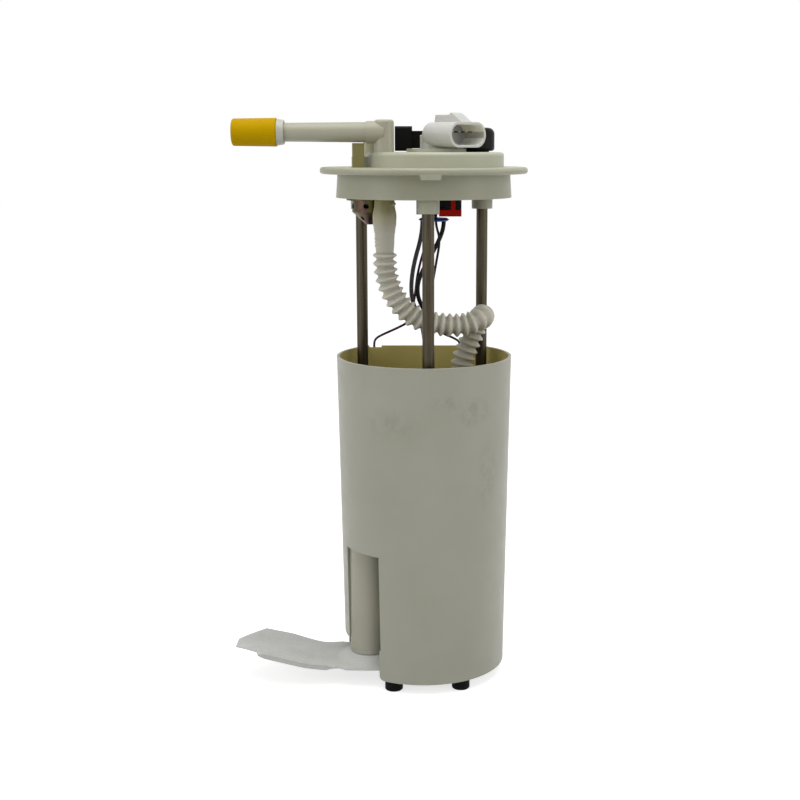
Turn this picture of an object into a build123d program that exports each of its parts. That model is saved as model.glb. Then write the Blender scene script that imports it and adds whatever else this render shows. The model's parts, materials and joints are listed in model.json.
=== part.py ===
"""Fuel pump module for a motor vehicle's tank, standing on its feet.

A round cover seals the tank's opening. Three steel rods hang from it and slide in guides in the
reservoir, a bucket with a flat back, and springs under the rods push the two apart. The bucket
holds the electric pump. A corrugated hose takes the fuel from the pump to the outlet in the cover.
The flat strainer lies under a recess at the bucket's lower left, and the level sender hangs behind.

Millimetres, +Z up. The origin is on the cover's axis, on the face that seals against the tank.
The front of the object faces -Y, and the outlet points to -X.
"""
from math import atan2, cos, degrees, hypot, radians, sin, tan
import os

from build123d import *

os.makedirs("parts", exist_ok=True)

# Clearances that the pieces share.
RUN_GAP = 0.06          # shaft in its hole, on the radius
FIT_GAP = 0.15          # between rigid pieces that slip together
SOFT_GAP = 0.30         # beside a soft piece

# Cover: flange, skirt and raised middle.
FLANGE_R = 71.4
FLANGE_T = 4.5
FLANGE_ROUND = 1.9
SKIRT_R = 60.5
SKIRT_FLARE = 0.9
SKIRT_DEPTH = 16.0
SEAL_BAND_H = 3.0        # straight top of the skirt, where the tank's seal sits
SKIRT_WALL = 2.6
PLATEAU_X = 7.6
PLATEAU_R = 47.4
PLATEAU_H = 10.1
PLATEAU_ROUND = 2.4
COVER_WALL = 3.0
RIB_COUNT = 6
RIB_T = 2.0
RIB_DROP = 7.0
RIB_ANGLE = 3.7

# Locating key at the front of the flange.
KEY_ANGLE = -86.0
KEY_WIDTH = 14.4
KEY_DRAFT = 1.8
KEY_DROP = 2.8
KEY_DEPTH = 4.0
KEY_ROOT = 1.0

# Guide rods, seen from above: angle from +X, and the circle that they stand on.
ROD_R = 4.0
ROD_CIRCLE_R = 49.6
ROD_ANGLES = {"front": -86.3, "right": 33.7, "left": 153.7}
ROD_SEAT = 27.0
BOSS_DROP = 25.0
BOSS_R = 7.35
BOSS_TAPER = 0.5

# Reservoir bucket.
RIM_Z = -126.2
BUCKET_H = 223.5
BUCKET_TOP_R = 61.45
BUCKET_BOTTOM_R = 57.55
BUCKET_WALL = 1.9
BUCKET_FLOOR = 2.0
BACK_FLAT_Y = 45.2
RIM_NOTCH_X = -36.2
RIM_NOTCH_W = 9.0
RIM_NOTCH_H = 1.3

# Guides and springs in the bucket.
GUIDE_TOP_DROP = 24.0
GUIDE_NECK = 14.0
GUIDE_WALL = 1.7
GUIDE_WEB_T = 4.0
CHAMBER_H = 90.0
CHAMBER_R = 5.0
SPRING_WIRE_R = 0.6
SPRING_SIDE_GAP = 0.35
SPRING_END_GAP = 0.05
SPRING_TURNS = 7
STOP_RING_T = 1.2
STOP_RING_R = 4.75
ROD_GROOVE = 0.5
ROD_TAIL = 2.5
DRAIN_R = 1.2

# Window and recess at the lower left of the bucket.
WINDOW_LEFT_ANGLE = -156.9
WINDOW_RIGHT_ANGLE = -121.8
WINDOW_H = 90.0
RECESS_DEPTH = 22.0
RECESS_WALL = 2.0

# Intake well that stands in the recess, against the bucket's wall.
WELL_ANGLE = -154.6
WELL_INSET = 0.55
WELL_R = 14.0
WELL_WALL = 1.8
WELL_DROP = 6.0
SLOT_H = 21.7
SLOT_CORNER_R = 3.5

# Strainer under the well: its reach each way from the well's axis.
COLLAR_T = 3.4
COLLAR_NECK_R = 10.0
COLLAR_NECK_WALL = 2.0
COLLAR_SPIGOT_H = 5.0
SOCK_T = 4.0
SOCK_DROP = 7.8
SOCK_FRONT = 26.3
SOCK_BACK = 27.8
SOCK_RIGHT = 13.4
SOCK_BEND = 19.1
SOCK_SHOULDER = 78.6
SOCK_TIP = 95.1
SOCK_TIP_FRONT = 12.3
SOCK_TIP_BACK = 2.4
SOCK_RISE = 12.0
SOCK_MOUND_R = 24.0
SLOT_BACK_GAP = 3.6
SLOT_RIGHT_GAP = 12.0

# Check valve on the well's roof, in its cage.
VALVE_R = 8.0
VALVE_T = 1.4
VALVE_STEM_R = 1.5
VALVE_STEM_L = 7.0
VALVE_LIFT = 2.0
VALVE_PORT_R = 1.9
VALVE_PORT_CIRCLE = 4.6
VALVE_PORTS = 4
CAGE_R = 10.5
CAGE_WALL = 1.6
CAGE_SLIT = 8.0
CAGE_BAR = 3.0

# Jet line from the pump to the well.
JET_R = 3.0
JET_BORE_R = 1.8
JET_TIP_R = 1.2
JET_TIP_L = 9.0
JET_REACH = 6.0

# Feet: the front pair stand on a circle, the back pair beside the flat.
FOOT_R = 6.3
FOOT_H = 7.8
FOOT_ROUND = 1.2
FOOT_STEM_R = 3.0
FOOT_HEAD = 1.0
FOOT_HEAD_H = 2.0
FOOT_INSET = 8.0
FOOT_LEFT_ANGLE = -115.2
FOOT_RIGHT_ANGLE = -58.5
FOOT_BACK_INSET = 10.7

# Pump: can, caps and what turns in it.
PUMP_X = 17.0
PUMP_Y = 5.0
PUMP_R = 19.0
PUMP_WALL = 0.8
PUMP_ROLL = 2.4
PUMP_CAN_L = 100.0
PUMP_FLOOR_GAP = 18.7
TOP_CAP_H = 9.0
TOP_CAP_DEPTH = 8.0
BOTTOM_CAP_H = 14.0
BOTTOM_CAP_DEPTH = 6.0
BOTTOM_CAP_INSET = 2.0
PUMP_SPIGOT_X = 10.0
PUMP_SPIGOT_Y = 7.0
PUMP_SPIGOT_H = 18.0
INLET_X = -8.0
INLET_R = 5.0
INLET_BORE_R = 3.2
INLET_L = 5.0
TERMINAL_R = 3.0
TERMINAL_H = 5.0
TERMINAL_PLACES = [(-8.5, -9.0), (-9.0, 5.0)]
SHAFT_R = 1.5
SHAFT_END_GAP = 3.0
IMPELLER_R = 15.5
IMPELLER_T = 3.6
IMPELLER_GAP = 0.4
IMPELLER_VANES = 18
VANE_DEPTH = 3.0
VANE_POCKET = 3.0
CUT_OVER = 1.0           # how far a cutter reaches past the face that it opens
PLATE_T = 5.0
PLATE_PORT_R = 3.0
PLATE_PORT_X = 11.0
ROTOR_R = 13.0
ROTOR_L = 42.0
ROTOR_LIFT = 22.0
ROTOR_SLOTS = 12
ROTOR_SLOT_W = 1.6
ROTOR_SLOT_DEPTH = 3.0
COMMUTATOR_R = 6.0
COMMUTATOR_L = 9.0
BRUSH_L = 8.0
BRUSH_W = 5.0
BRUSH_H = 6.0
MAGNET_T = 4.0
MAGNET_GAP = 6.0
MAGNET_OVERHANG = 2.0

# What holds the pump in the bucket.
RUBBER_T = 2.2
SEAT_WALL = 1.8
SEAT_H = 22.0
CUP_LIFT = 15.0
CUP_OVERLAP = 8.0
SPIDER_DROP = 16.0
SPIDER_H = 7.0
SPIDER_WALL = 2.0
SPIDER_ARM = 6.0
SPIDER_ANGLES = (-75, 0, 110, 195)
SCREEN_R = 13.0
SCREEN_ROUND = 2.0
SCREEN_FLOOR_GAP = 1.0

# Outlet in the cover.
OUTLET_X = -26.4
OUTLET_Y = -22.5
RISER_R = 6.65
RISER_H = 21.4
RISER_ROUND = 2.0
NIPPLE_UP = 13.1
NIPPLE_R = 6.8
NIPPLE_END_R = 6.2
NIPPLE_X = -93.5
ROOT_L = 12.0
ROOT_GROW = 0.6
FUEL_BORE_R = 3.6
STUB_R = 7.0
STUB_ROUND = 1.2
STUB_L = 30.5
COLLAR_L = 4.9
COLLAR_OVERLAP = 0.4
COLLAR_R = 8.9
COLLAR_TAPER = 0.9
POST_X = -43.8
POST_W = 7.8
POST_D = 5.0

# Barbed spigot under the cover.
BARB_R = 5.3
BARB_STEM = 0.6
BARB_DROP = 36.0
BARB_TEETH = 3
BARB_PITCH = 5.0
BARB_H = 4.0

# Shipping cap on the outlet's stub.
CAP_L = 29.8
CAP_R = 9.45
CAP_END_R = 9.0
CAP_WALL = 1.5
CAP_ROUND = 1.6

# Hose: a route chosen by hand between its two spigots.
HOSE_R = 7.5
HOSE_TOP_Z = -6.0
HOSE_ROUTE = [(-26.4, -22.5, -74.0), (-8.0, -20.5, -99.0), (25.5, -16.0, -104.5),
              (42.3, -11.0, -98.0), (39.8, 11.5, -99.5), (32.5, 13.0, -118.5),
              (26.0, 12.5, -136.0), (27.0, 12.0, -160.0)]
HOSE_END_UP = 5.0

# Plug, lock and seal under the cover.
PLUG_X = 10.4
PLUG_W = 31.0
PLUG_D = 18.0
PLUG_TOP = -8.0
PLUG_H = 19.5
PLUG_ROUND = 1.5
PLUG_GROOVES = 3
PLUG_GROOVE_W = 2.4
PLUG_GROOVE_PITCH = 6.0
PLUG_GROOVE_DEPTH = 0.9
LOCK_W = 15.4
LOCK_T = 4.6
LOCK_STEP = 3.4
LOCK_FRONT = 1.4
LOCK_STRIP_X = 8.0
LOCK_STRIP_W = 3.2
LOCK_STRIP_DROP = 3.2    # from the plug's top to the strip's top
LOCK_ROUND = 0.8
SEAL_X = 6.9
SEAL_R = 10.7
SEAL_T = 2.2
SEAL_DROP = 2.8
SEAL_EDGE = 1.5
SEAL_NECK_R = 5.4
SEAL_NECK_X = -3.0

# Electrical connector on the cover. Its own X points out of its mouth.
CONNECTOR_X = 30.1
CONNECTOR_Y = -16.0
CONNECTOR_UP = 11.5
CONNECTOR_TURN = -45.0
CONNECTOR_W = 35.0
CONNECTOR_H = 17.0
CONNECTOR_L = 29.0
CONNECTOR_WALL = 1.8
CONNECTOR_DEPTH = 19.0
CONNECTOR_ROUND = 4.0
NECK_X = 12.2
NECK_Y = -3.3
NECK_W = 29.6
NECK_D = 14.0
PAD_SHIFT = 3.5
PAD_GROW = 11.2
PAD_H = 2.3
LATCH_W = 10.0
LATCH_PROFILE = [(-27.5, -1.5), (-26.5, 5.0), (-13.0, 5.0), (-12.0, 6.4), (-9.0, 5.2),
                 (-1.0, -0.4), (-1.0, -1.5)]
PIN_COUNT = 4
PIN_W = 1.6
PIN_T = 0.8
PIN_PITCH = 6.6
PIN_UP = 2.0
PIN_BACK = 5.0
PIN_ROOT = 3.0
TAIL_PITCH = 5.4
TAIL_DROP = 9.0
TAIL_UP = 8.0

# Tank pressure sensor on the cover.
SENSOR_X = 36.7
SENSOR_Y = 22.5
SENSOR_R = 12.8
SENSOR_H = 16.0
SENSOR_ROUND = 2.0
SENSOR_DOME = 4.5
SENSOR_PORT_R = 4.0
SENSOR_PORT_L = 7.0
SENSOR_BORE_R = 1.2
SHROUD_X = -20.3
SHROUD_L = 11.9
SHROUD_W = 18.0
SHROUD_H = 17.0
SHROUD_WALL = 1.8
SENSOR_NECK_W = 10.0
SENSOR_NECK_H = 12.0
SENSOR_PINS = 3
SENSOR_PIN_PITCH = 3.6
SENSOR_PIN_W = 1.0
SENSOR_PIN_L = 7.4
GROMMET_R = 7.0
GROMMET_LIP = 0.7
GROMMET_FLANGE = 2.0

# Pressure regulator under the cover.
REG_X = -37.2
REG_Y = -1.0
REG_RIM_R = 16.2
REG_RIM_Z = -16.2
REG_RIM_T = 1.8
REG_BODY_R = 12.4
REG_BODY_H = 8.0
REG_CONE_H = 8.6
REG_TIP_R = 2.9
REG_SHELL_T = 0.9
REG_NECK_H = 3.0
REG_HOLES = 6
REG_HOLE_R = 1.9
REG_SMALL_HOLE_R = 1.2
REG_HOLE_ANGLE = -100.0
REG_DRILL_L = 3.6
REG_SPRING_R = 5.0
REG_SPRING_WIRE_R = 0.6
REG_SPRING_TURNS = 3
TURRET_X = -33.0
TURRET_R = 8.4
TURRET_H = 19.4

# Level sender on the flat back, with its arm and float.
SENDER_X = 6.0
SENDER_DROP = 95.8
SENDER_W = 34.0
SENDER_H = 52.0
SENDER_T = 7.0
SENDER_ROUND = 3.0
SENDER_FRAME = 4.0
SENDER_POCKET = 3.0
SENDER_PIN_R = 2.0
CARD_T = 1.0
CARD_GAP = 0.5
HUB_R = 6.5
HUB_T = 5.0
HUB_GAP = 0.2
HUB_GRIP_L = 16.0
HUB_GRIP_W = 6.0
WIPER_W = 2.4
WIPER_T = 1.6
WIPER_L = 9.0
WIPER_ANGLE = 37.5
ARM_R = 1.2
ARM_L = 100.0
ARM_START = 5.0
ARM_BEND_R = 2.6
ARM_REST = 10.0
FLOAT_L = 44.0
FLOAT_H = 20.0
FLOAT_T = 13.4
FLOAT_ROUND = 3.0
FLOAT_PIVOT_UP = 4.0
FLOAT_BACK_Y = 70.6
ARM_TIP = 0.4

# Levels and places that follow from the sizes above.
PLATEAU_TOP = FLANGE_T + PLATEAU_H
PLATEAU_ROOF = PLATEAU_TOP - COVER_WALL
BUCKET_BOTTOM = RIM_Z - BUCKET_H
BUCKET_SLOPE = (BUCKET_TOP_R - BUCKET_BOTTOM_R) / BUCKET_H
FLOOR_TOP = BUCKET_BOTTOM + BUCKET_FLOOR
FOOT_BOTTOM = BUCKET_BOTTOM - FOOT_H
GUIDE_R = CHAMBER_R + GUIDE_WALL
GUIDE_TOP = RIM_Z - GUIDE_TOP_DROP
NECK_BOTTOM = GUIDE_TOP - GUIDE_NECK
CHAMBER_BOTTOM = NECK_BOTTOM - CHAMBER_H
GUIDE_BOTTOM = CHAMBER_BOTTOM - BUCKET_FLOOR
STOP_TOP = NECK_BOTTOM - FIT_GAP
ROD_BOTTOM = STOP_TOP - STOP_RING_T - ROD_TAIL
WINDOW_TOP = BUCKET_BOTTOM + WINDOW_H
WINDOW_R = BUCKET_BOTTOM_R + BUCKET_SLOPE * WINDOW_H
SLOT_TOP = BUCKET_BOTTOM + SLOT_H
WELL_CIRCLE_R = BUCKET_BOTTOM_R - WELL_R - WELL_INSET
WELL_X = WELL_CIRCLE_R * cos(radians(WELL_ANGLE))
WELL_Y = WELL_CIRCLE_R * sin(radians(WELL_ANGLE))
WELL_BORE_R = WELL_R - WELL_WALL
WELL_BOTTOM = SLOT_TOP - WELL_DROP
WELL_ROOF = WINDOW_TOP + RECESS_WALL
CAGE_ROOF = WELL_ROOF + VALVE_T + VALVE_LIFT + FIT_GAP
SOCK_TOP = WELL_BOTTOM - SOCK_DROP
SOCK_RIGHT_X = WELL_X + SOCK_RIGHT
SLOT_BACK_Y = WELL_Y + SOCK_BACK + SLOT_BACK_GAP
SLOT_RIGHT_X = SOCK_RIGHT_X + SLOT_RIGHT_GAP
FLOOR_LEFT_X = WINDOW_R * cos(radians(WINDOW_RIGHT_ANGLE))
CAN_BOTTOM = FLOOR_TOP + PUMP_FLOOR_GAP + BOTTOM_CAP_H
CAN_TOP = CAN_BOTTOM + PUMP_CAN_L
CAN_BORE_R = PUMP_R - PUMP_WALL
PUMP_TOP = CAN_TOP + TOP_CAP_H
PUMP_BOTTOM = CAN_BOTTOM - BOTTOM_CAP_H
BOTTOM_CAP_R = PUMP_R - BOTTOM_CAP_INSET
IMPELLER_LOW = CAN_BOTTOM + BOTTOM_CAP_DEPTH + IMPELLER_GAP
PLATE_LOW = IMPELLER_LOW + IMPELLER_T + IMPELLER_GAP
ROTOR_LOW = CAN_BOTTOM + ROTOR_LIFT
COMMUTATOR_LOW = ROTOR_LOW + ROTOR_L
JET_Z = (PUMP_BOTTOM + CAN_BOTTOM) / 2
OUTER_RUBBER_R = PUMP_R + RUBBER_T
NIPPLE_Z = PLATEAU_TOP + NIPPLE_UP
COLLAR_X = NIPPLE_X + COLLAR_OVERLAP - COLLAR_L
CAP_MOUTH_X = COLLAR_X - FIT_GAP
CAP_X = CAP_MOUTH_X - CAP_L
HOSE_BORE_R = BARB_R + SOFT_GAP
HOSE_END_Z = PUMP_TOP + HOSE_END_UP
PLUG_LEFT = PLUG_X - PLUG_W / 2
PLUG_RIGHT = PLUG_X + PLUG_W / 2
PLUG_FRONT = -PLUG_D / 2
PLUG_BOTTOM = PLUG_TOP - PLUG_H
SEAL_TOP = PLUG_BOTTOM - SEAL_DROP
SEAL_BOTTOM = SEAL_TOP - SEAL_T
SENSOR_LOW = PLATEAU_TOP + GROMMET_LIP
REG_DRUM_LOW = REG_RIM_Z - REG_RIM_T - REG_BODY_H
REG_TIP = REG_DRUM_LOW - REG_CONE_H
REG_NECK_TOP = REG_RIM_Z + REG_NECK_H
SENDER_Z = RIM_Z - SENDER_DROP
SENDER_FACE = BACK_FLAT_Y + SENDER_T
HUB_FRONT = SENDER_FACE + HUB_GAP
FLOAT_X = SENDER_X + ARM_L * sin(radians(ARM_REST))
FLOAT_Z = SENDER_Z - ARM_L * cos(radians(ARM_REST))

# Wires: radii, and routes chosen by hand from the seal to the pump and over the rim.
THICK_WIRE_R = 1.5
THIN_WIRE_R = 0.85
WIRE_BACK_Y = 48.6
PUMP_FEED_ROUTE = [(-1.0, 0.5, SEAL_BOTTOM), (-1.0, 0.5, -41.0), (-7.8, -2.0, -64.0),
                   (-9.4, -2.0, -84.0), (-4.6, 0.5, -98.0), (0.6, 3.0, -112.0),
                   (1.0, 2.0, -142.0), (8.5, -4.0, -176.0), (8.5, -4.0, PUMP_TOP + TERMINAL_H)]
PUMP_GROUND_ROUTE = [(13.8, 1.5, SEAL_BOTTOM), (13.8, 1.5, -38.5), (7.0, 0.6, -53.0),
                     (-3.6, -1.2, -71.0), (-5.0, -0.8, -84.0), (0.0, 2.8, -95.0),
                     (5.6, 5.5, -110.0), (6.0, 7.0, -142.0), (8.0, 10.0, -176.0),
                     (8.0, 10.0, PUMP_TOP + TERMINAL_H)]
LEVEL_SIGNAL_ROUTE = [(2.6, 1.5, SEAL_BOTTOM), (2.6, 1.5, -44.0), (-4.6, 2.2, -68.0),
                      (-6.4, 3.5, -86.0), (-10.0, 7.0, -103.5), (-19.5, 16.0, -109.5),
                      (-30.0, 27.0, -115.5), (-35.6, 36.0, -119.6), (-37.6, 47.8, -125.2),
                      (-36.6, 49.2, -140.0), (-24.0, WIRE_BACK_Y, -168.0),
                      (0.0, WIRE_BACK_Y, -182.0),
                      (0.0, WIRE_BACK_Y, SENDER_Z + SENDER_H / 2)]
LEVEL_GROUND_ROUTE = [(8.4, -3.0, SEAL_BOTTOM), (8.4, -3.0, -35.5), (11.4, -3.0, -45.0),
                      (8.4, -2.6, -62.0), (4.6, 0.5, -84.0), (6.0, 8.0, -104.0),
                      (13.0, 21.5, -114.2), (21.5, 34.0, -119.0), (27.0, 47.6, -124.6),
                      (26.4, 49.2, -140.0), (20.0, WIRE_BACK_Y, -166.0),
                      (11.0, WIRE_BACK_Y, -182.0),
                      (11.0, WIRE_BACK_Y, SENDER_Z + SENDER_H / 2)]

LOW = (Align.CENTER, Align.CENTER, Align.MIN)
SECTION_REACH = 200.0
BEND_SHARE = 0.45        # of the shorter run beside a corner, that the corner's arc may take


def disc(radius, low, high, x=0.0, y=0.0):
    """Upright cylinder between two levels."""
    return Pos(x, y, low) * Cylinder(radius, high - low, align=LOW)


def taper(low_r, high_r, low, high, x=0.0, y=0.0):
    """Upright cone between two levels."""
    return Pos(x, y, low) * Cone(low_r, high_r, high - low, align=LOW)


def ring(outer, inner, low, high, x=0.0, y=0.0):
    """Upright tube between two levels."""
    return disc(outer, low, high, x, y) - disc(inner, low, high, x, y)


def block(x0, x1, y0, y1, z0, z1):
    """Box between two corners."""
    middle = Pos((x0 + x1) / 2, (y0 + y1) / 2, (z0 + z1) / 2)
    return middle * Box(x1 - x0, y1 - y0, z1 - z0)


def along_x(radius, x0, x1, y, z):
    """Cylinder that lies along X."""
    return Pos(x0, y, z) * Rot(0, 90, 0) * Cylinder(radius, x1 - x0, align=LOW)


def along_y(radius, y0, y1, x, z):
    """Cylinder that lies along Y."""
    return Pos(x, y0, z) * Rot(-90, 0, 0) * Cylinder(radius, y1 - y0, align=LOW)


def fanned(count, piece, x=0.0, y=0.0, start=0.0):
    """Copies of a piece around an upright axis."""
    copies = Part()
    for i in range(count):
        copies += Pos(x, y, 0) * Rot(0, 0, start + 360 * i / count) * piece
    return copies


def on_circle(radius, angle):
    """Point on a circle about the origin, seen from above."""
    return radius * cos(radians(angle)), radius * sin(radians(angle))


def coil(radius, wire_r, turns, low, high, x, y):
    """Open coil spring between two levels."""
    height = high - low - 2 * wire_r
    path = Helix(pitch=height / turns, height=height, radius=radius)
    section = Plane(origin=path @ 0, z_dir=path % 0) * Circle(wire_r)
    return Pos(x, y, low + wire_r) * sweep(section, path=path)


def tube_along(points, radius, bore=0.0):
    """Tube through a route of points, with arcs as large as the runs allow."""
    corners = [Vector(*p) for p in points]
    radii = []
    for before, at, after in zip(corners, corners[1:], corners[2:]):
        run_in = at - before
        run_out = after - at
        turn = radians(run_in.get_angle(run_out))
        radii.append(BEND_SHARE * min(run_in.length, run_out.length) / tan(turn / 2))
    print("bend radii", [round(r, 1) for r in radii])
    path = FilletPolyline(*corners, radius=radii)
    start = Plane(origin=path @ 0, z_dir=path % 0)
    section = start * Circle(radius)
    if bore:
        section -= start * Circle(bore)
    return sweep(section, path=path)


def bucket_form(inset, low, high):
    """The bucket's tapered outside with its flat back, moved inwards by inset."""
    low_r = BUCKET_BOTTOM_R + BUCKET_SLOPE * (low - BUCKET_BOTTOM) - inset
    high_r = BUCKET_BOTTOM_R + BUCKET_SLOPE * (high - BUCKET_BOTTOM) - inset
    behind = block(-FLANGE_R, FLANGE_R, BACK_FLAT_Y - inset, FLANGE_R, low, high)
    return taper(low_r, high_r, low, high) - behind


def recess(wall, top):
    """Space behind the window, grown by wall."""
    left = on_circle(WINDOW_R, WINDOW_LEFT_ANGLE)
    right = on_circle(WINDOW_R, WINDOW_RIGHT_ANGLE)
    chord = hypot(right[0] - left[0], right[1] - left[1])
    turn = degrees(atan2(right[1] - left[1], right[0] - left[0]))
    local = block(-wall, chord + wall, -RECESS_DEPTH, RECESS_DEPTH + wall, SLOT_TOP, top)
    return Pos(left[0], left[1], 0) * Rot(0, 0, turn) * local


def sock_slot(wall):
    """Space under the raised floor that the strainer lies in, grown by wall."""
    top = SLOT_TOP + wall
    back = SLOT_BACK_Y + wall
    open_side = block(-FLANGE_R, FLOOR_LEFT_X, -FLANGE_R, back, BUCKET_BOTTOM, top)
    inside = block(FLOOR_LEFT_X, SLOT_RIGHT_X + wall, -FLANGE_R, back, FLOOR_TOP, top)
    return open_side + (inside & bucket_form(BUCKET_WALL, FLOOR_TOP, top))


def slot_corner():
    """What the rounded lower corner of the wall lacks, beside the strainer's slot."""
    x = FLOOR_LEFT_X + SLOT_CORNER_R
    z = BUCKET_BOTTOM + SLOT_CORNER_R
    square = block(FLOOR_LEFT_X, x, -FLANGE_R, -WELL_CIRCLE_R, BUCKET_BOTTOM, z)
    return square - along_y(SLOT_CORNER_R, -FLANGE_R, -WELL_CIRCLE_R, x, z)


def guide(name):
    """Outside of one rod's guide, with the web that joins it to the wall."""
    x, y = on_circle(ROD_CIRCLE_R, ROD_ANGLES[name])
    web = block(0, BUCKET_TOP_R - ROD_CIRCLE_R, -GUIDE_WEB_T / 2, GUIDE_WEB_T / 2,
                GUIDE_BOTTOM, GUIDE_TOP)
    return disc(GUIDE_R, GUIDE_BOTTOM, GUIDE_TOP, x, y) + Pos(x, y, 0) * Rot(
        0, 0, ROD_ANGLES[name]) * web


def guide_bore(name):
    """Neck that the rod slides in, spring chamber and drain of one guide."""
    x, y = on_circle(ROD_CIRCLE_R, ROD_ANGLES[name])
    bore = disc(ROD_R + RUN_GAP, NECK_BOTTOM, GUIDE_TOP, x, y)
    bore += disc(CHAMBER_R, CHAMBER_BOTTOM, NECK_BOTTOM, x, y)
    return bore + disc(DRAIN_R, GUIDE_BOTTOM, CHAMBER_BOTTOM, x, y)


def valve_ports():
    """Ports and stem hole in the roof of the intake well."""
    port = disc(VALVE_PORT_R, WINDOW_TOP, WELL_ROOF, VALVE_PORT_CIRCLE)
    stem = disc(VALVE_STEM_R + RUN_GAP, WINDOW_TOP, WELL_ROOF, WELL_X, WELL_Y)
    return stem + fanned(VALVE_PORTS, port, WELL_X, WELL_Y)


def jet_frame():
    """Frame of the jet line: X from the well's axis to the pump's axis."""
    turn = degrees(atan2(PUMP_Y - WELL_Y, PUMP_X - WELL_X))
    return Pos(WELL_X, WELL_Y, JET_Z) * Rot(0, 0, turn)


def foot_places():
    """Centres of the four feet, by name."""
    circle = BUCKET_BOTTOM_R - FOOT_INSET
    left = on_circle(circle, FOOT_LEFT_ANGLE)
    right = on_circle(circle, FOOT_RIGHT_ANGLE)
    back_y = BACK_FLAT_Y - FOOT_BACK_INSET
    return {"front_left": left, "front_right": right,
            "back_left": (left[0], back_y), "back_right": (right[0], back_y)}


def reservoir_shell():
    """Bucket with guides, window recess, intake well and pump seat, in one moulding."""
    fuel_space = bucket_form(BUCKET_WALL, FLOOR_TOP, RIM_Z)
    fuel_space -= recess(RECESS_WALL, WELL_ROOF)
    fuel_space -= sock_slot(RECESS_WALL)
    fuel_space -= disc(WELL_R, WELL_BOTTOM, WELL_ROOF, WELL_X, WELL_Y)
    for name in ROD_ANGLES:
        fuel_space -= guide(name)
    seat_r = OUTER_RUBBER_R + SEAT_WALL
    fuel_space -= ring(seat_r, OUTER_RUBBER_R, FLOOR_TOP, FLOOR_TOP + SEAT_H, PUMP_X, PUMP_Y)
    shell = bucket_form(0, BUCKET_BOTTOM, RIM_Z) - fuel_space
    shell -= recess(0, WINDOW_TOP) - disc(WELL_R, SLOT_TOP, WELL_ROOF, WELL_X, WELL_Y)
    shell -= sock_slot(0) + slot_corner()
    shell += disc(WELL_R, WELL_BOTTOM, SLOT_TOP, WELL_X, WELL_Y)
    shell -= disc(WELL_BORE_R, WELL_BOTTOM, WINDOW_TOP, WELL_X, WELL_Y)
    shell -= valve_ports()
    shell -= jet_frame() * along_x(JET_R, WELL_BORE_R - WELL_WALL, WELL_R + RECESS_WALL, 0, 0)
    for name in ROD_ANGLES:
        shell -= guide_bore(name)
    for x, y in foot_places().values():
        shell -= disc(FOOT_STEM_R, BUCKET_BOTTOM, FLOOR_TOP, x, y)
    half = RIM_NOTCH_W / 2
    return shell - block(RIM_NOTCH_X - half, RIM_NOTCH_X + half, BACK_FLAT_Y - 2 * BUCKET_WALL,
                         BACK_FLAT_Y, RIM_Z - RIM_NOTCH_H, RIM_Z)


def check_valve():
    """Disc that lies on the ports, with the stem that guides it."""
    lid = taper(VALVE_R, VALVE_R - VALVE_T, WELL_ROOF, WELL_ROOF + VALVE_T, WELL_X, WELL_Y)
    return lid + disc(VALVE_STEM_R, WELL_ROOF - VALVE_STEM_L, WELL_ROOF, WELL_X, WELL_Y)


def valve_cage():
    """Open cage that stops the lifted valve."""
    top = CAGE_ROOF + CAGE_WALL
    cage = ring(CAGE_R, CAGE_R - CAGE_WALL, WELL_ROOF, top)
    slit = block(-CAGE_R, CAGE_R, -CAGE_SLIT / 2, CAGE_SLIT / 2, WELL_ROOF, CAGE_ROOF)
    reach = CAGE_R - CAGE_WALL / 2
    bar = block(-reach, reach, -CAGE_BAR / 2, CAGE_BAR / 2, CAGE_ROOF, top)
    cage = cage - slit - Rot(0, 0, 90) * slit + bar + Rot(0, 0, 90) * bar
    return Pos(WELL_X, WELL_Y, 0) * cage


def jet_line():
    """Short tube from the pump's bottom cap to the intake well."""
    far = hypot(PUMP_X - WELL_X, PUMP_Y - WELL_Y) - BOTTOM_CAP_R - FIT_GAP
    tube = along_x(JET_R, WELL_BORE_R, far, 0, 0) - along_x(JET_BORE_R, WELL_BORE_R, far, 0, 0)
    return jet_frame() * tube


def jet_nozzle():
    """Small brass nozzle on the jet line's end, inside the well, pointing up."""
    near = WELL_BORE_R - JET_REACH
    body = along_x(JET_R, near, WELL_BORE_R, 0, 0)
    tip = Pos(near + JET_R, 0, 0) * Cone(JET_BORE_R, JET_TIP_R, JET_TIP_L, align=LOW)
    return jet_frame() * (body + tip)


def strainer_collar():
    """Ring, neck and spigot that hold the strainer on the intake well."""
    low = WELL_BOTTOM - COLLAR_T
    top = WELL_BOTTOM + COLLAR_SPIGOT_H
    collar = disc(WELL_R, low, WELL_BOTTOM, WELL_X, WELL_Y)
    collar += disc(COLLAR_NECK_R, SOCK_TOP, low, WELL_X, WELL_Y)
    collar += disc(WELL_BORE_R - FIT_GAP, WELL_BOTTOM, top, WELL_X, WELL_Y)
    return collar - disc(COLLAR_NECK_R - COLLAR_NECK_WALL, SOCK_TOP, top, WELL_X, WELL_Y)


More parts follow.
